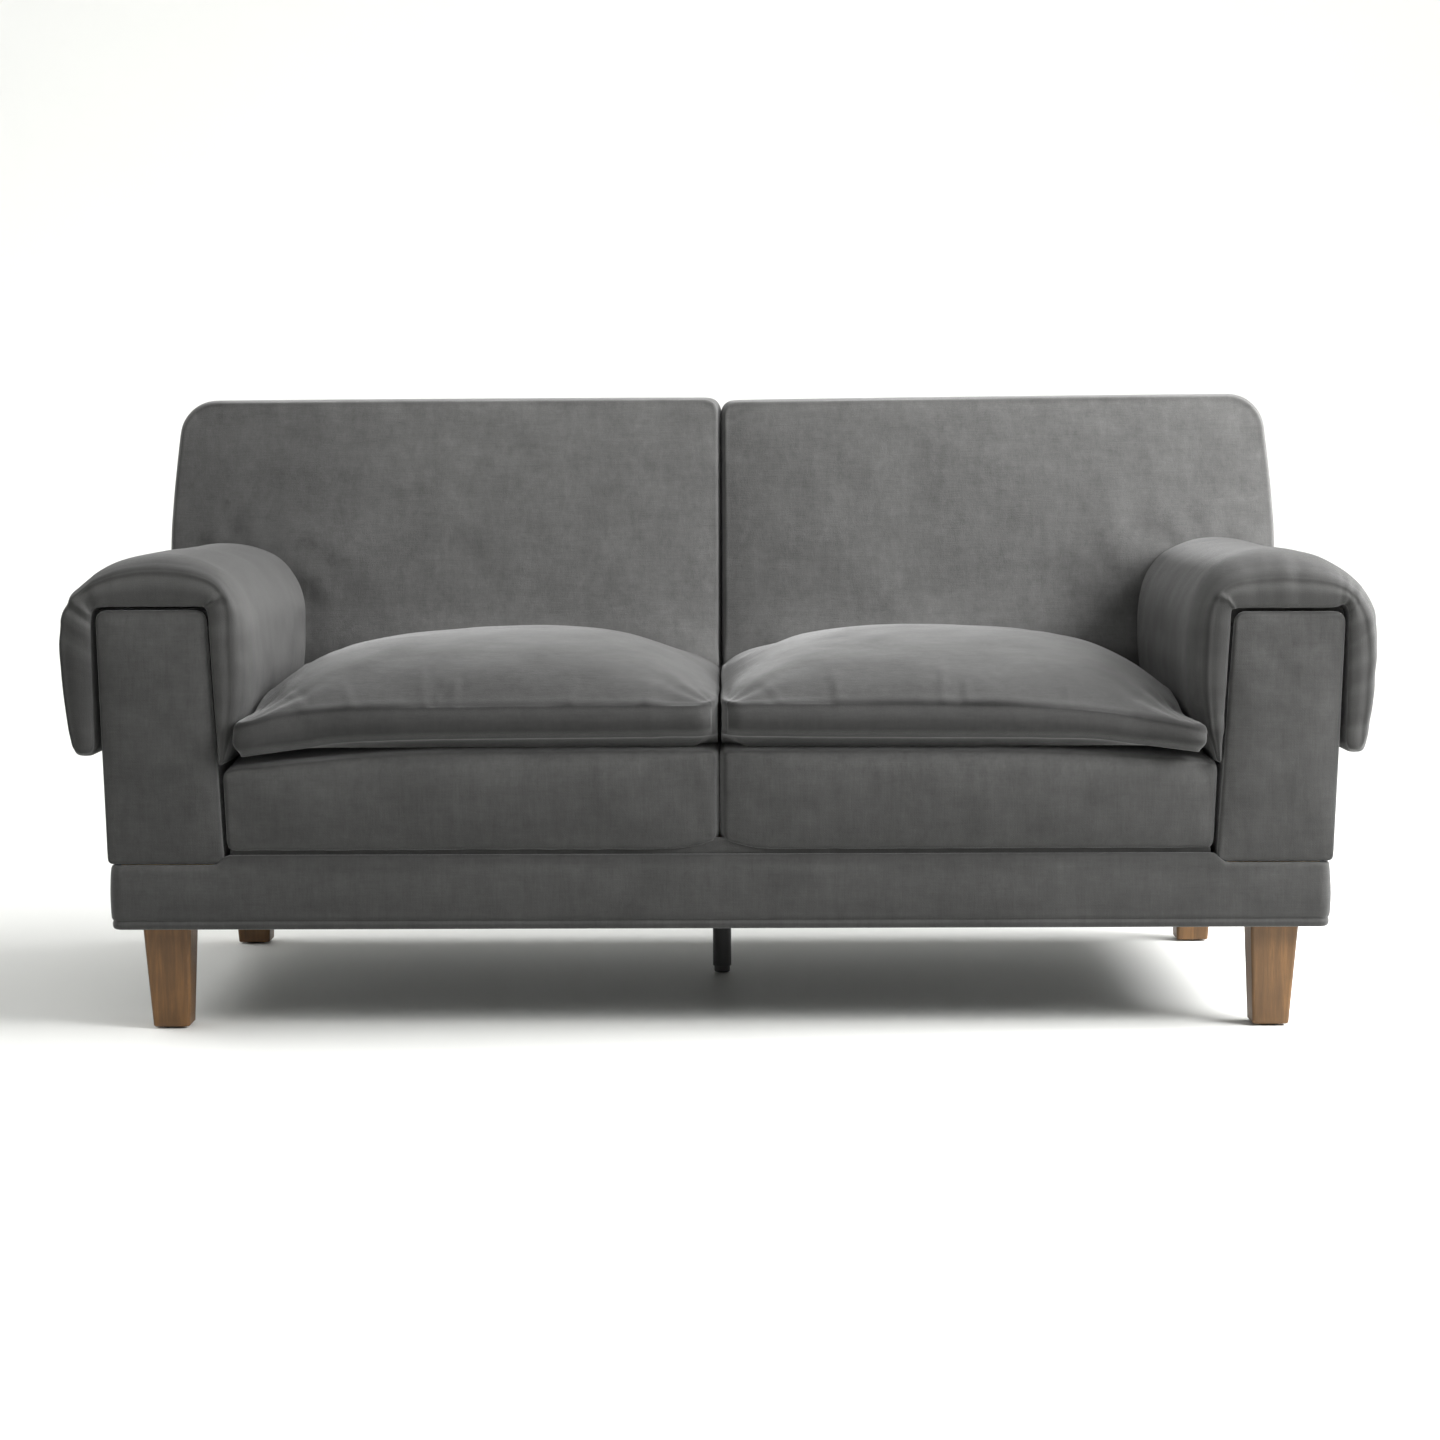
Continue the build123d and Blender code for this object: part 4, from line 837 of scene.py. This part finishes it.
def arm_pad(side, s):
    P, F = cube_grid(150, 14, 96, 0.25, 0.25, 0.45)
    a, b, c = P[:, 0], P[:, 1], P[:, 2]
    k0 = (a + 1) / 2
    k, L = even_param((PAD_OUT + PAD_IN) / 2, k0)
    v = (c + 1) / 2
    tb = (b + 1) / 2
    # depth and the rounding of the front border
    Dp = 0.520
    zeta = v * Dp
    Rd = 0.042 + 0.022 * smooth(k0, 0.25, 0.5) * smooth(k0, 0.85, 0.6) + 0.010 * smooth(k0, 0.35, 0.25)
    drop = 0.47 - 0.20 * smooth(k0, 0.26, 0.40) - 0.13 * smooth(k0, 0.62, 0.78)
    if s > 0:
        drop = 0.47 + 0.05 * smooth(k0, 0.30, 0.42) * smooth(k0, 0.74, 0.66) - 0.13 * smooth(k0, 0.68, 0.80)
        Rd = Rd + 0.014 * smooth(k0, 0.28, 0.5) * smooth(k0, 0.85, 0.6)
    tmax = 1 - drop * (1 - np.sqrt(np.clip(1 - np.clip((Rd - zeta) / Rd, 0, 1) ** 2, 0, 1)))
    Rr = 0.02
    tmax = tmax - 0.12 * (1 - np.sqrt(np.clip(1 - np.clip((Rr - (Dp - zeta)) / Rr, 0, 1) ** 2, 0, 1)))
    t = tb * tmax
    pin, pout = along(PAD_IN, k), along(PAD_OUT, k)
    p = pin * (1 - t)[:, None] + pout * t[:, None]
    # rounded flap ends
    ext = np.clip(1 - np.abs(2 * tb - 1) ** 3.2, 0, 1) ** 0.5
    end_w = smooth(np.abs(a), 0.93, 1.0)
    p[:, 1] -= ext * end_w * np.where(a > 0, 0.012, 0.006)
    # front lower corner of the outer flap is rounded too
    fc = smooth(a, 0.9, 1.0) * np.clip(1 - zeta / 0.03, 0, 1) ** 2
    p[:, 1] += 0.006 * fc
    if s > 0:
        # the right pad hangs a little over the top of its arm front
        p[:, 1] -= 0.0066 * smooth(k0, 0.33, 0.38) * smooth(k0, 0.66, 0.62) * (1 - tb) ** 2 * smooth(0.019 - zeta, 0.0, 0.008)
    # the border face is slightly padded
    d = zeta.copy()
    face_front = c < -0.999
    d = d - np.where(face_front, 0.004 * np.sin(np.clip(tb, 0, 1) * math.pi), 0)
    # inner edge of the border turns in towards the arm
    turn = np.clip(1 - tb / 0.08, 0, 1) * np.clip(1 - zeta / 0.012, 0, 1)
    d = d + 0.0025 * turn
    # the crown sags a little in the middle of its length and swells over the padding
    roof = smooth(k0, 0.3, 0.42) * smooth(k0, 0.72, 0.6)
    p[:, 1] += roof * tb * (0.0018 * np.sin(v * math.pi * 2.2 + s))
    V = np.stack([s * p[:, 0], Y0 + d, p[:, 1]], 1)
    # rear end follows the lean of the back
    lim = Y0 + back_front(V[:, 2]) - 0.005
    V[:, 1] = V[:, 1] + smooth(v, 0.3, 1.0) * (lim - (Y0 + Dp))
    F = outward(V, F)
    V = relax(V, F, 1, 0.5)
    N = normals_of(V, F)
    outer = b > 0.999
    # seam at the edge of the front border, with a mitre at the inner top corner
    dist = np.where(outer, zeta, np.where(face_front, (tmax - t) * 0.055, 1.0))
    V = V - N * (0.0026 * gauss(dist, 0.004) * (outer | face_front))[:, None]
    km = 0.352
    mitre = np.abs(k0 - km - 0.02 * (1 - tb)) * L
    V = V - N * (0.0030 * gauss(mitre, 0.0032) * (face_front & (tb > 0.04)))[:, None]
    # gathers at the outer top corner, and fine puckers along the seam
    kg = 0.70 if s < 0 else 0.672
    g = gauss((k0 - kg) * L, 0.05) * gauss(zeta, 0.05)
    V = V + N * (g * (outer | face_front) * (0.0019 if s < 0 else 0.0030) * noise1(k0 * L, 0.010, 4 + s))[:, None]
    if s > 0:
        for kk, amp in ((0.636, 0.0020), (0.660, 0.0026), (0.684, 0.0020)):
            V = V + N * (amp * gauss((k0 - kk) * L, 0.0050) * gauss(zeta - 0.008, 0.030) * (outer | face_front))[:, None]
    g2 = gauss(zeta, 0.035) * (outer | face_front)
    V = V + N * (g2 * 0.0011 * noise1(k0 * L, 0.02, 9 + s))[:, None]
    soft = 0.0022 * vnoise(V, 0.10, 12 + s) + 0.0009 * vnoise(V, 0.04, 14 + s)
    V = V + N * (soft * outer * smooth(zeta, 0.0, 0.04))[:, None]
    # painted shade: dark lines along the edge seam and the mitre, a darker front border over the inner flap of the
    # right pad, and a darker outer flap, front and side, on the left pad
    painted_shade = 0.55 * gauss(dist, 0.0026) * (outer | face_front) + 0.7 * gauss(mitre, 0.0026) * (face_front & (tb > 0.04))
    if s > 0:
        painted_shade = painted_shade + 0.42 * face_front * smooth(k0, 0.37, 0.34)
    else:
        painted_shade = painted_shade + 0.42 * smooth(k0, 0.72, 0.84) * np.where(outer | face_front, 1.0, 0.0)
    # a second line of stitching runs beside the edge seam, drawn as a line of painted shade
    painted_shade = painted_shade + 0.25 * gauss(np.where(outer, zeta, 1.0) - 0.011, 0.0022)
    ob = mesh_object("arm_pad_skin_" + side, V, F, FAB_PAD, "pad_" + side, 1, ("arm_pad_" + side,), painted_shade)
    return ob


for side, s in (("left", -1), ("right", 1)):
    arm_pad(side, s)

# ------------------------------------------------------------------ backs


def back_unit(side, s):
    P, F = cube_grid(120, 26, 96, 0.45, 0.35, 0.45)
    a, b, c = P[:, 0], P[:, 1], P[:, 2]      # a: centre -1 .. outer +1, b: front .. rear, c: bottom .. top
    z0, z1 = 0.2315, 0.874
    hw, hh = 0.4195, (z1 - z0) / 2
    A, C = round_corner(a * hw, c * hh, hw, hh, (0.004, 0.004, 0.050, 0.020))
    w = A / hw
    z = (z0 + z1) / 2 + C
    tilt = 0.0035 * w + 0.0005 if s > 0 else -0.0012 * w
    z = z + tilt * smooth(C / hh, 0.2, 1.0)
    v = (b + 1) / 2
    xi = 0.0030 * (1 - smooth(v, 0.10, 0.30)) - 0.0002
    xo = interp(z, [0.23, 0.45, 0.60, 0.66, 0.72, 0.78, 0.83, 0.875], [0.832, 0.845, 0.853, 0.8535, 0.851, 0.8465, 0.842, 0.838])
    if s > 0:
        xo = xo + 0.0035
    df, dr = back_front(z), back_rear(z) - 0.008
    d = df + v * (dr - df)
    thick = dr - df
    depth = v * thick
    # outline narrows towards the front seam, bulges along the boxing
    side_m = np.maximum(np.abs(a), np.abs(c))
    on_side = side_m > 0.999
    Er = 0.024
    ef = np.clip(1 - depth / Er, 0, 1)
    er = np.clip(1 - (thick - depth) / 0.02, 0, 1)
    inset = 0.0075 * ef**2 + 0.006 * er**2
    inset_in = 0.004 * ef**2
    xm = (xi + xo) / 2
    half = (xo - xi) / 2
    x = xm + w * half
    x = x - np.clip(w, 0, 1) ** 3 * inset + np.clip(-w, 0, 1) ** 3 * inset_in
    z = z - np.clip(C / hh, 0, 1) ** 6 * inset * 0.75
    # padded front: crowned, falling to the seam
    fa = np.clip(1 - np.abs(a) ** 3.2, 0, 1) ** 0.6
    fcz = np.clip(1 - np.clip(c, 0, 1) ** 3.2, 0, 1) ** 0.6
    low = smooth(z, 0.40, 0.52)
    front = b < -0.999
    crown = 0.015 * fa * fcz * (0.4 + 0.6 * low)
    d = d - np.where(front, crown - 0.006, 0)
    # top of the boxing is slightly crowned, the sides swell
    d = d + 0.0
    topm = c > 0.999
    z = z + np.where(topm, 0.002 * np.sin(v * math.pi) * fa, 0)
    V = np.stack([s * x, Y0 + d, z], 1)
    F = outward(V, F)
    V = relax(V, F, 2, 0.5)
    N = normals_of(V, F)
    # seam around the front panel
    distf = np.minimum((1 - np.abs(a)) * hw, np.where(c > 0, (1 - c) * hh, 1.0))
    dseam = np.where(front, distf, np.where(on_side, depth, 1.0))
    V = V - N * (0.0016 * gauss(dseam, 0.0036) * (front | on_side))[:, None]
    # soft unevenness and the dents where the back meets the arm pad and the seat
    X = V[:, 0] * s
    Z = V[:, 2]
    soft = 0.0030 * vnoise(V, 0.16, 20 + s) + 0.0014 * vnoise(V, 0.06, 22 + s)
    pad_d = np.hypot((X - 0.66) / 0.10, (Z - 0.62) / 0.07)
    dent = -0.012 * gauss(pad_d, 1.0)
    ang = np.arctan2(Z - 0.60, 0.72 - X)
    rad = np.hypot(X - 0.72, Z - 0.60)
    rays = 0.0011 * np.sin(ang * 8 + 0.6 + 2.5 * noise1(rad, 0.06, 3 + s)) * gauss(rad - 0.10, 0.055)
    low_d = -0.009 * gauss(Z - 0.49, 0.045) * smooth(X, 0.0, 0.1)
    corner = -0.008 * gauss(np.hypot(X - 0.01, Z - 0.46), 0.05)
    V = V + N * ((soft + dent + rays + low_d + corner) * front)[:, None]
    V = V + N * (0.0010 * noise1(np.where(c > 0.9, X, Z), 0.02, 6 + s) * gauss(dseam, 0.022) * front)[:, None]
    shade = 0.3 * gauss(dseam, 0.0026) * (front | on_side)
    if s > 0:
        shade = shade + 0.40 * front * gauss(np.hypot((X - 0.66) / 0.16, (Z - 0.56) / 0.10), 1.0)
    else:
        shade = shade + 0.44 * front * smooth(X, 0.40, 0.80) + 0.15 * front * gauss(np.hypot((X - 0.62) / 0.14, (Z - 0.56) / 0.10), 1.0)
    ob = mesh_object("back_skin_" + side, V, F, FAB_BACK, "root", 1, ("back_cushion_" + side,), shade)

    # rear panel, a thin padded sheet of cloth over board
    P, F = cube_grid(90, 3, 70, 0.3, 0.0, 0.3)
    a, b, c = P[:, 0], P[:, 1], P[:, 2]
    hw, hh = 0.4155, 0.3172
    A, C = round_corner(a * hw, c * hh, hw, hh, (0.006, 0.010, 0.046, 0.018))
    w = A / hw
    z = 0.2325 + hh + C
    xo = interp(z, [0.23, 0.45, 0.60, 0.66, 0.72, 0.78, 0.83, 0.875], [0.828, 0.836, 0.8415, 0.8415, 0.840, 0.837, 0.8335, 0.830])
    x = 0.0075 + (w + 1) / 2 * (xo - 0.0075)
    edge = np.minimum((1 - np.abs(a)) * hw, (1 - np.abs(c)) * hh)
    puff = 0.0045 * smooth(edge, 0, 0.05)
    d = back_rear(z) - np.where(b > 0.999, 0.0045 - puff, 0.0125)
    V = np.stack([s * x, Y0 + d, z], 1)
    F = outward(V, F)
    V = relax(V, F, 1, 0.5)
    N = normals_of(V, F)
    V = V + N * (0.0010 * vnoise(V, 0.12, 30 + s) * (b > 0.999))[:, None]
    ob = mesh_object("back_rear_skin_" + side, V, F, FAB_BACK, "root", 1, ("back_rear_panel_" + side,))


for side, s in (("left", -1), ("right", 1)):
    back_unit(side, s)

# ------------------------------------------------------------------ plinth: one upholstered band round the base
def plinth():
    hx, d0, d1, r = 0.8325, 0.0005, 0.8585, 0.016
    # path of the outer face, clockwise from the middle of the front
    pts, nrm = [], []
    cx0, cx1 = -hx + r, hx - r
    cd0, cd1 = d0 + r, d1 - r

    def line(p, q, n, step):
        k = max(2, int(np.hypot(q[0] - p[0], q[1] - p[1]) / step))
        for i in range(k):
            pts.append((p[0] + (q[0] - p[0]) * i / k, p[1] + (q[1] - p[1]) * i / k))
            nrm.append(n)

    def arc(c, a0):
        for i in range(7):
            an = a0 + (math.pi / 2) * i / 7
            pts.append((c[0] + r * math.cos(an), c[1] + r * math.sin(an)))
            nrm.append((math.cos(an), math.sin(an)))

    line((cx0, d0), (cx1, d0), (0, -1), 0.008)
    arc((cx1, cd0), -math.pi / 2)
    line((hx, cd0), (hx, cd1), (1, 0), 0.008)
    arc((cx1, cd1), 0)
    line((cx1, d1), (cx0, d1), (0, 1), 0.008)
    arc((cx0, cd1), math.pi / 2)
    line((-hx, cd1), (-hx, cd0), (-1, 0), 0.008)
    arc((cx0, cd0), math.pi)
    pts, nrm = np.array(pts), np.array(nrm)
    n = len(pts)
    # cross-section: (outset, z), going up the outside, over, down the inside and back
    zt, zb2 = 0.2322, 0.1427
    prof = []
    for z_, o in ((zb2, -0.0050), (zb2 + 0.0012, -0.0022), (zb2 + 0.004, -0.0006), (zb2 + 0.008, -0.0002), (zb2 + 0.0108, -0.0008), (zb2 + 0.0122, -0.0018), (zb2 + 0.0136, -0.0008)):
        prof.append((o, z_))
    for t in np.linspace(0.17, 0.93, 14):
        prof.append((0.0022 * math.sin(t * math.pi) - 0.0004, zb2 + t * (zt - zb2)))
    for o, z_ in ((-0.0008, zt - 0.0022), (-0.0022, zt - 0.0007), (-0.0052, zt - 0.0001), (-0.0085, zt - 0.0001), (-0.0135, zt - 0.0045), (-0.0138, 0.19), (-0.0138, zb2 + 0.002), (-0.010, zb2)):
        prof.append((o, z_))
    m = len(prof)
    V = np.zeros((n * m, 3))
    painted_shade = np.zeros(n * m)
    for i in range(n):
        # between the arms the front of the band runs up to the seat decks
        up = float(smooth(0.6825 - abs(pts[i, 0]), 0.0, 0.004)) if nrm[i, 1] < -0.99 else 0.0
        for j, (o, z_) in enumerate(prof):
            zz, oo = z_, o
            if z_ > 0.195 and up > 0:
                if o > -0.012:
                    zz = 0.195 + (z_ - 0.195) * (1 + up * 0.3700)
                    oo = max(o, -0.0085 * up - 0.0138 * (1 - up))
            V[i * m + j] = (pts[i, 0] + nrm[i, 0] * oo, Y0 + pts[i, 1] + nrm[i, 1] * oo, zz)
            # painted shade: a dark line along the seam near the bottom of the band
            painted_shade[i * m + j] = 0.5 * math.exp(-(((z_ - zb2 - 0.0122) / 0.0016) ** 2)) if o > -0.009 else 0.0
            # painted shade on the part that lies in the shadow under the decks
            painted_shade[i * m + j] += 0.75 * up * float(smooth(z_, zt - 0.014, zt))
    F = []
    for i in range(n):
        i2 = (i + 1) % n
        for j in range(m):
            j2 = (j + 1) % m
            F.append((i * m + j, i2 * m + j, i2 * m + j2, i * m + j2))
    F = np.array(F)
    N = normals_of(V, F)
    cen = np.array([0, Y0 + 0.43, 0.19])
    if np.einsum("ij,ij->i", N, V - cen).mean() < 0:
        F = F[:, ::-1]
        N = -N
    out = smooth(V[:, 2], 0.150, 0.165) * smooth(V[:, 2], 0.231, 0.222)
    V = V + N * (out * (0.0011 * vnoise(V, 0.10, 40) + 0.0006 * vnoise(V, 0.035, 41)))[:, None]
    ob = mesh_object("plinth_skin", V, F, FAB_BASE, "root", 1,
                     ("base_cover_front", "base_cover_rear", "base_cover_left", "base_cover_right"), painted_shade)


plinth()

# band that covers the front of the seat frames, in the shadow under the decks
def band_rise(V, a, b, c):
    V[:, 2] += 0.012 * gauss(V[:, 0], 0.055) * smooth(c, -1.0, 1.0)
    return V


q = [(-0.668, 0.2325), (0.668, 0.2325), (0.668, 0.2545), (-0.668, 0.2545)]
soft_block("seat_band_skin", q, Y0 + 0.0108, Y0 + 0.0158, "y", "root", FAB_BASE, ("seat_front_band",),
           radii=(0.003,) * 4, seam_in=0.0005, puff=0.0010, side_puff=0.0, edge_r=0.003, seed=3.0, res=0.010, wrinkle=0.0003,
           shape=band_rise)

# ------------------------------------------------------------------ dust cover: stretched black cloth, with the holes for the legs hidden by them
P, F = cube_grid(70, 1, 40, 0.1, 0.0, 0.1)
a, b, c = P[:, 0], P[:, 1], P[:, 2]
x, d = a * 0.8165, 0.4295 + c * 0.414
edge = np.minimum(0.8165 - np.abs(x), 0.414 - np.abs(d - 0.4295))
sag = 0.0022 * smooth(edge, 0, 0.12)
z = np.where(b > 0, 0.1478, 0.1466) - sag * smooth(np.hypot(x, d - 0.495), 0.02, 0.12)
V = np.stack([x, Y0 + d, z], 1)
F = outward(V, F)
dust = mesh_object("dust_cover_cloth", V, F, CLOTH, "root", 0, ("dust_cover",))

# ------------------------------------------------------------------ floor, backdrop and light
def stage_material(name, color):
    m, nt, bsdf = new_material(name)
    tc = node(nt, "ShaderNodeTexCoord")
    n = noise_node(nt, tc.outputs["Object"], 1.3, 3.0, 0.5)
    s = math_node(nt, "MULTIPLY_ADD", n, 0.02, 0.99)
    comb = node(nt, "ShaderNodeCombineColor")
    for i in range(3):
        nt.links.new(s, comb.inputs[i])
    mul = node(nt, "ShaderNodeMix", data_type="RGBA", blend_type="MULTIPLY")
    mul.inputs["Factor"].default_value = 1.0
    mul.inputs[6].default_value = (*color, 1)
    nt.links.new(comb.outputs[0], mul.inputs[7])
    nt.links.new(mul.outputs[2], bsdf.inputs["Base Color"])
    bsdf.inputs["Roughness"].default_value = 0.6
    bsdf.inputs["Specular IOR Level"].default_value = 0.15
    return m


def sweep_stage():
    # floor that curves up into a backdrop all round, so that every view has a pale ground
    R, r, H = 3.2, 4.5, 7.5
    prof = [(0.0, 0.0), (R * 0.5, 0.0), (R, 0.0)]
    for i in range(1, 25):
        an = i / 24 * math.pi / 2
        prof.append((R + r * math.sin(an), r - r * math.cos(an)))
    prof.append((R + r, H))
    n = 96
    verts = [(0, 0, 0)]
    for k in range(n):
        an = 2 * math.pi * k / n
        for rr, zz in prof[1:]:
            verts.append((rr * math.cos(an), rr * math.sin(an), zz))
    m = len(prof) - 1
    faces = []
    for k in range(n):
        k2 = (k + 1) % n
        faces.append((0, 1 + k * m, 1 + k2 * m))
        for j in range(m - 1):
            faces.append((1 + k * m + j, 1 + k * m + j + 1, 1 + k2 * m + j + 1, 1 + k2 * m + j))
    me = bpy.data.meshes.new("studio_floor")
    me.from_pydata(verts, [], faces)
    me.update()
    for p in me.polygons:
        p.use_smooth = True
    ob = bpy.data.objects.new("studio_floor", me)
    bpy.context.scene.collection.objects.link(ob)
    ob.data.materials.append(stage_material("studio_white", (0.825, 0.83, 0.81)))


sweep_stage()

world = bpy.data.worlds.new("studio_world")
world.use_nodes = True
bpy.context.scene.world = world
bg = world.node_tree.nodes["Background"]
bg.inputs[0].default_value = (1.0, 1.0, 0.99, 1)
bg.inputs[1].default_value = 0.08


def area(name, loc, target, size, power, color=(1, 1, 1), size_y=None):
    li = bpy.data.lights.new(name, "AREA")
    li.shape = "RECTANGLE"
    li.size = size
    li.size_y = size_y or size
    li.energy = power
    li.color = color
    ob = bpy.data.objects.new(name, li)
    bpy.context.scene.collection.objects.link(ob)
    ob.location = loc
    dirv = Vector(target) - Vector(loc)
    ob.rotation_euler = dirv.to_track_quat("-Z", "Y").to_euler()
    return ob


RIG = (
    ("key_right", (3.0, -1.8, 2.2), (0.2, 0.0, 0.45), 1.7, 200),
    ("top_soft", (1.6, 0.5, 3.1), (0.1, 0.1, 0.3), 2.4, 80),
    ("side_right", (2.7, -0.2, 1.9), (0.6, 0.0, 0.5), 1.2, 120),
    ("wash_back", (0.5, 2.8, 4.2), (0.8, 6.0, 1.2), 4.0, 168),
    ("wash_left", (-3.4, 0.9, 3.4), (-2.7, 0.6, 0.0), 2.2, 76),
    ("wash_floor", (0.2, -4.0, 4.4), (0.3, -2.4, 0.0), 3.0, 40),
)
for row in RIG:
    area(*row)
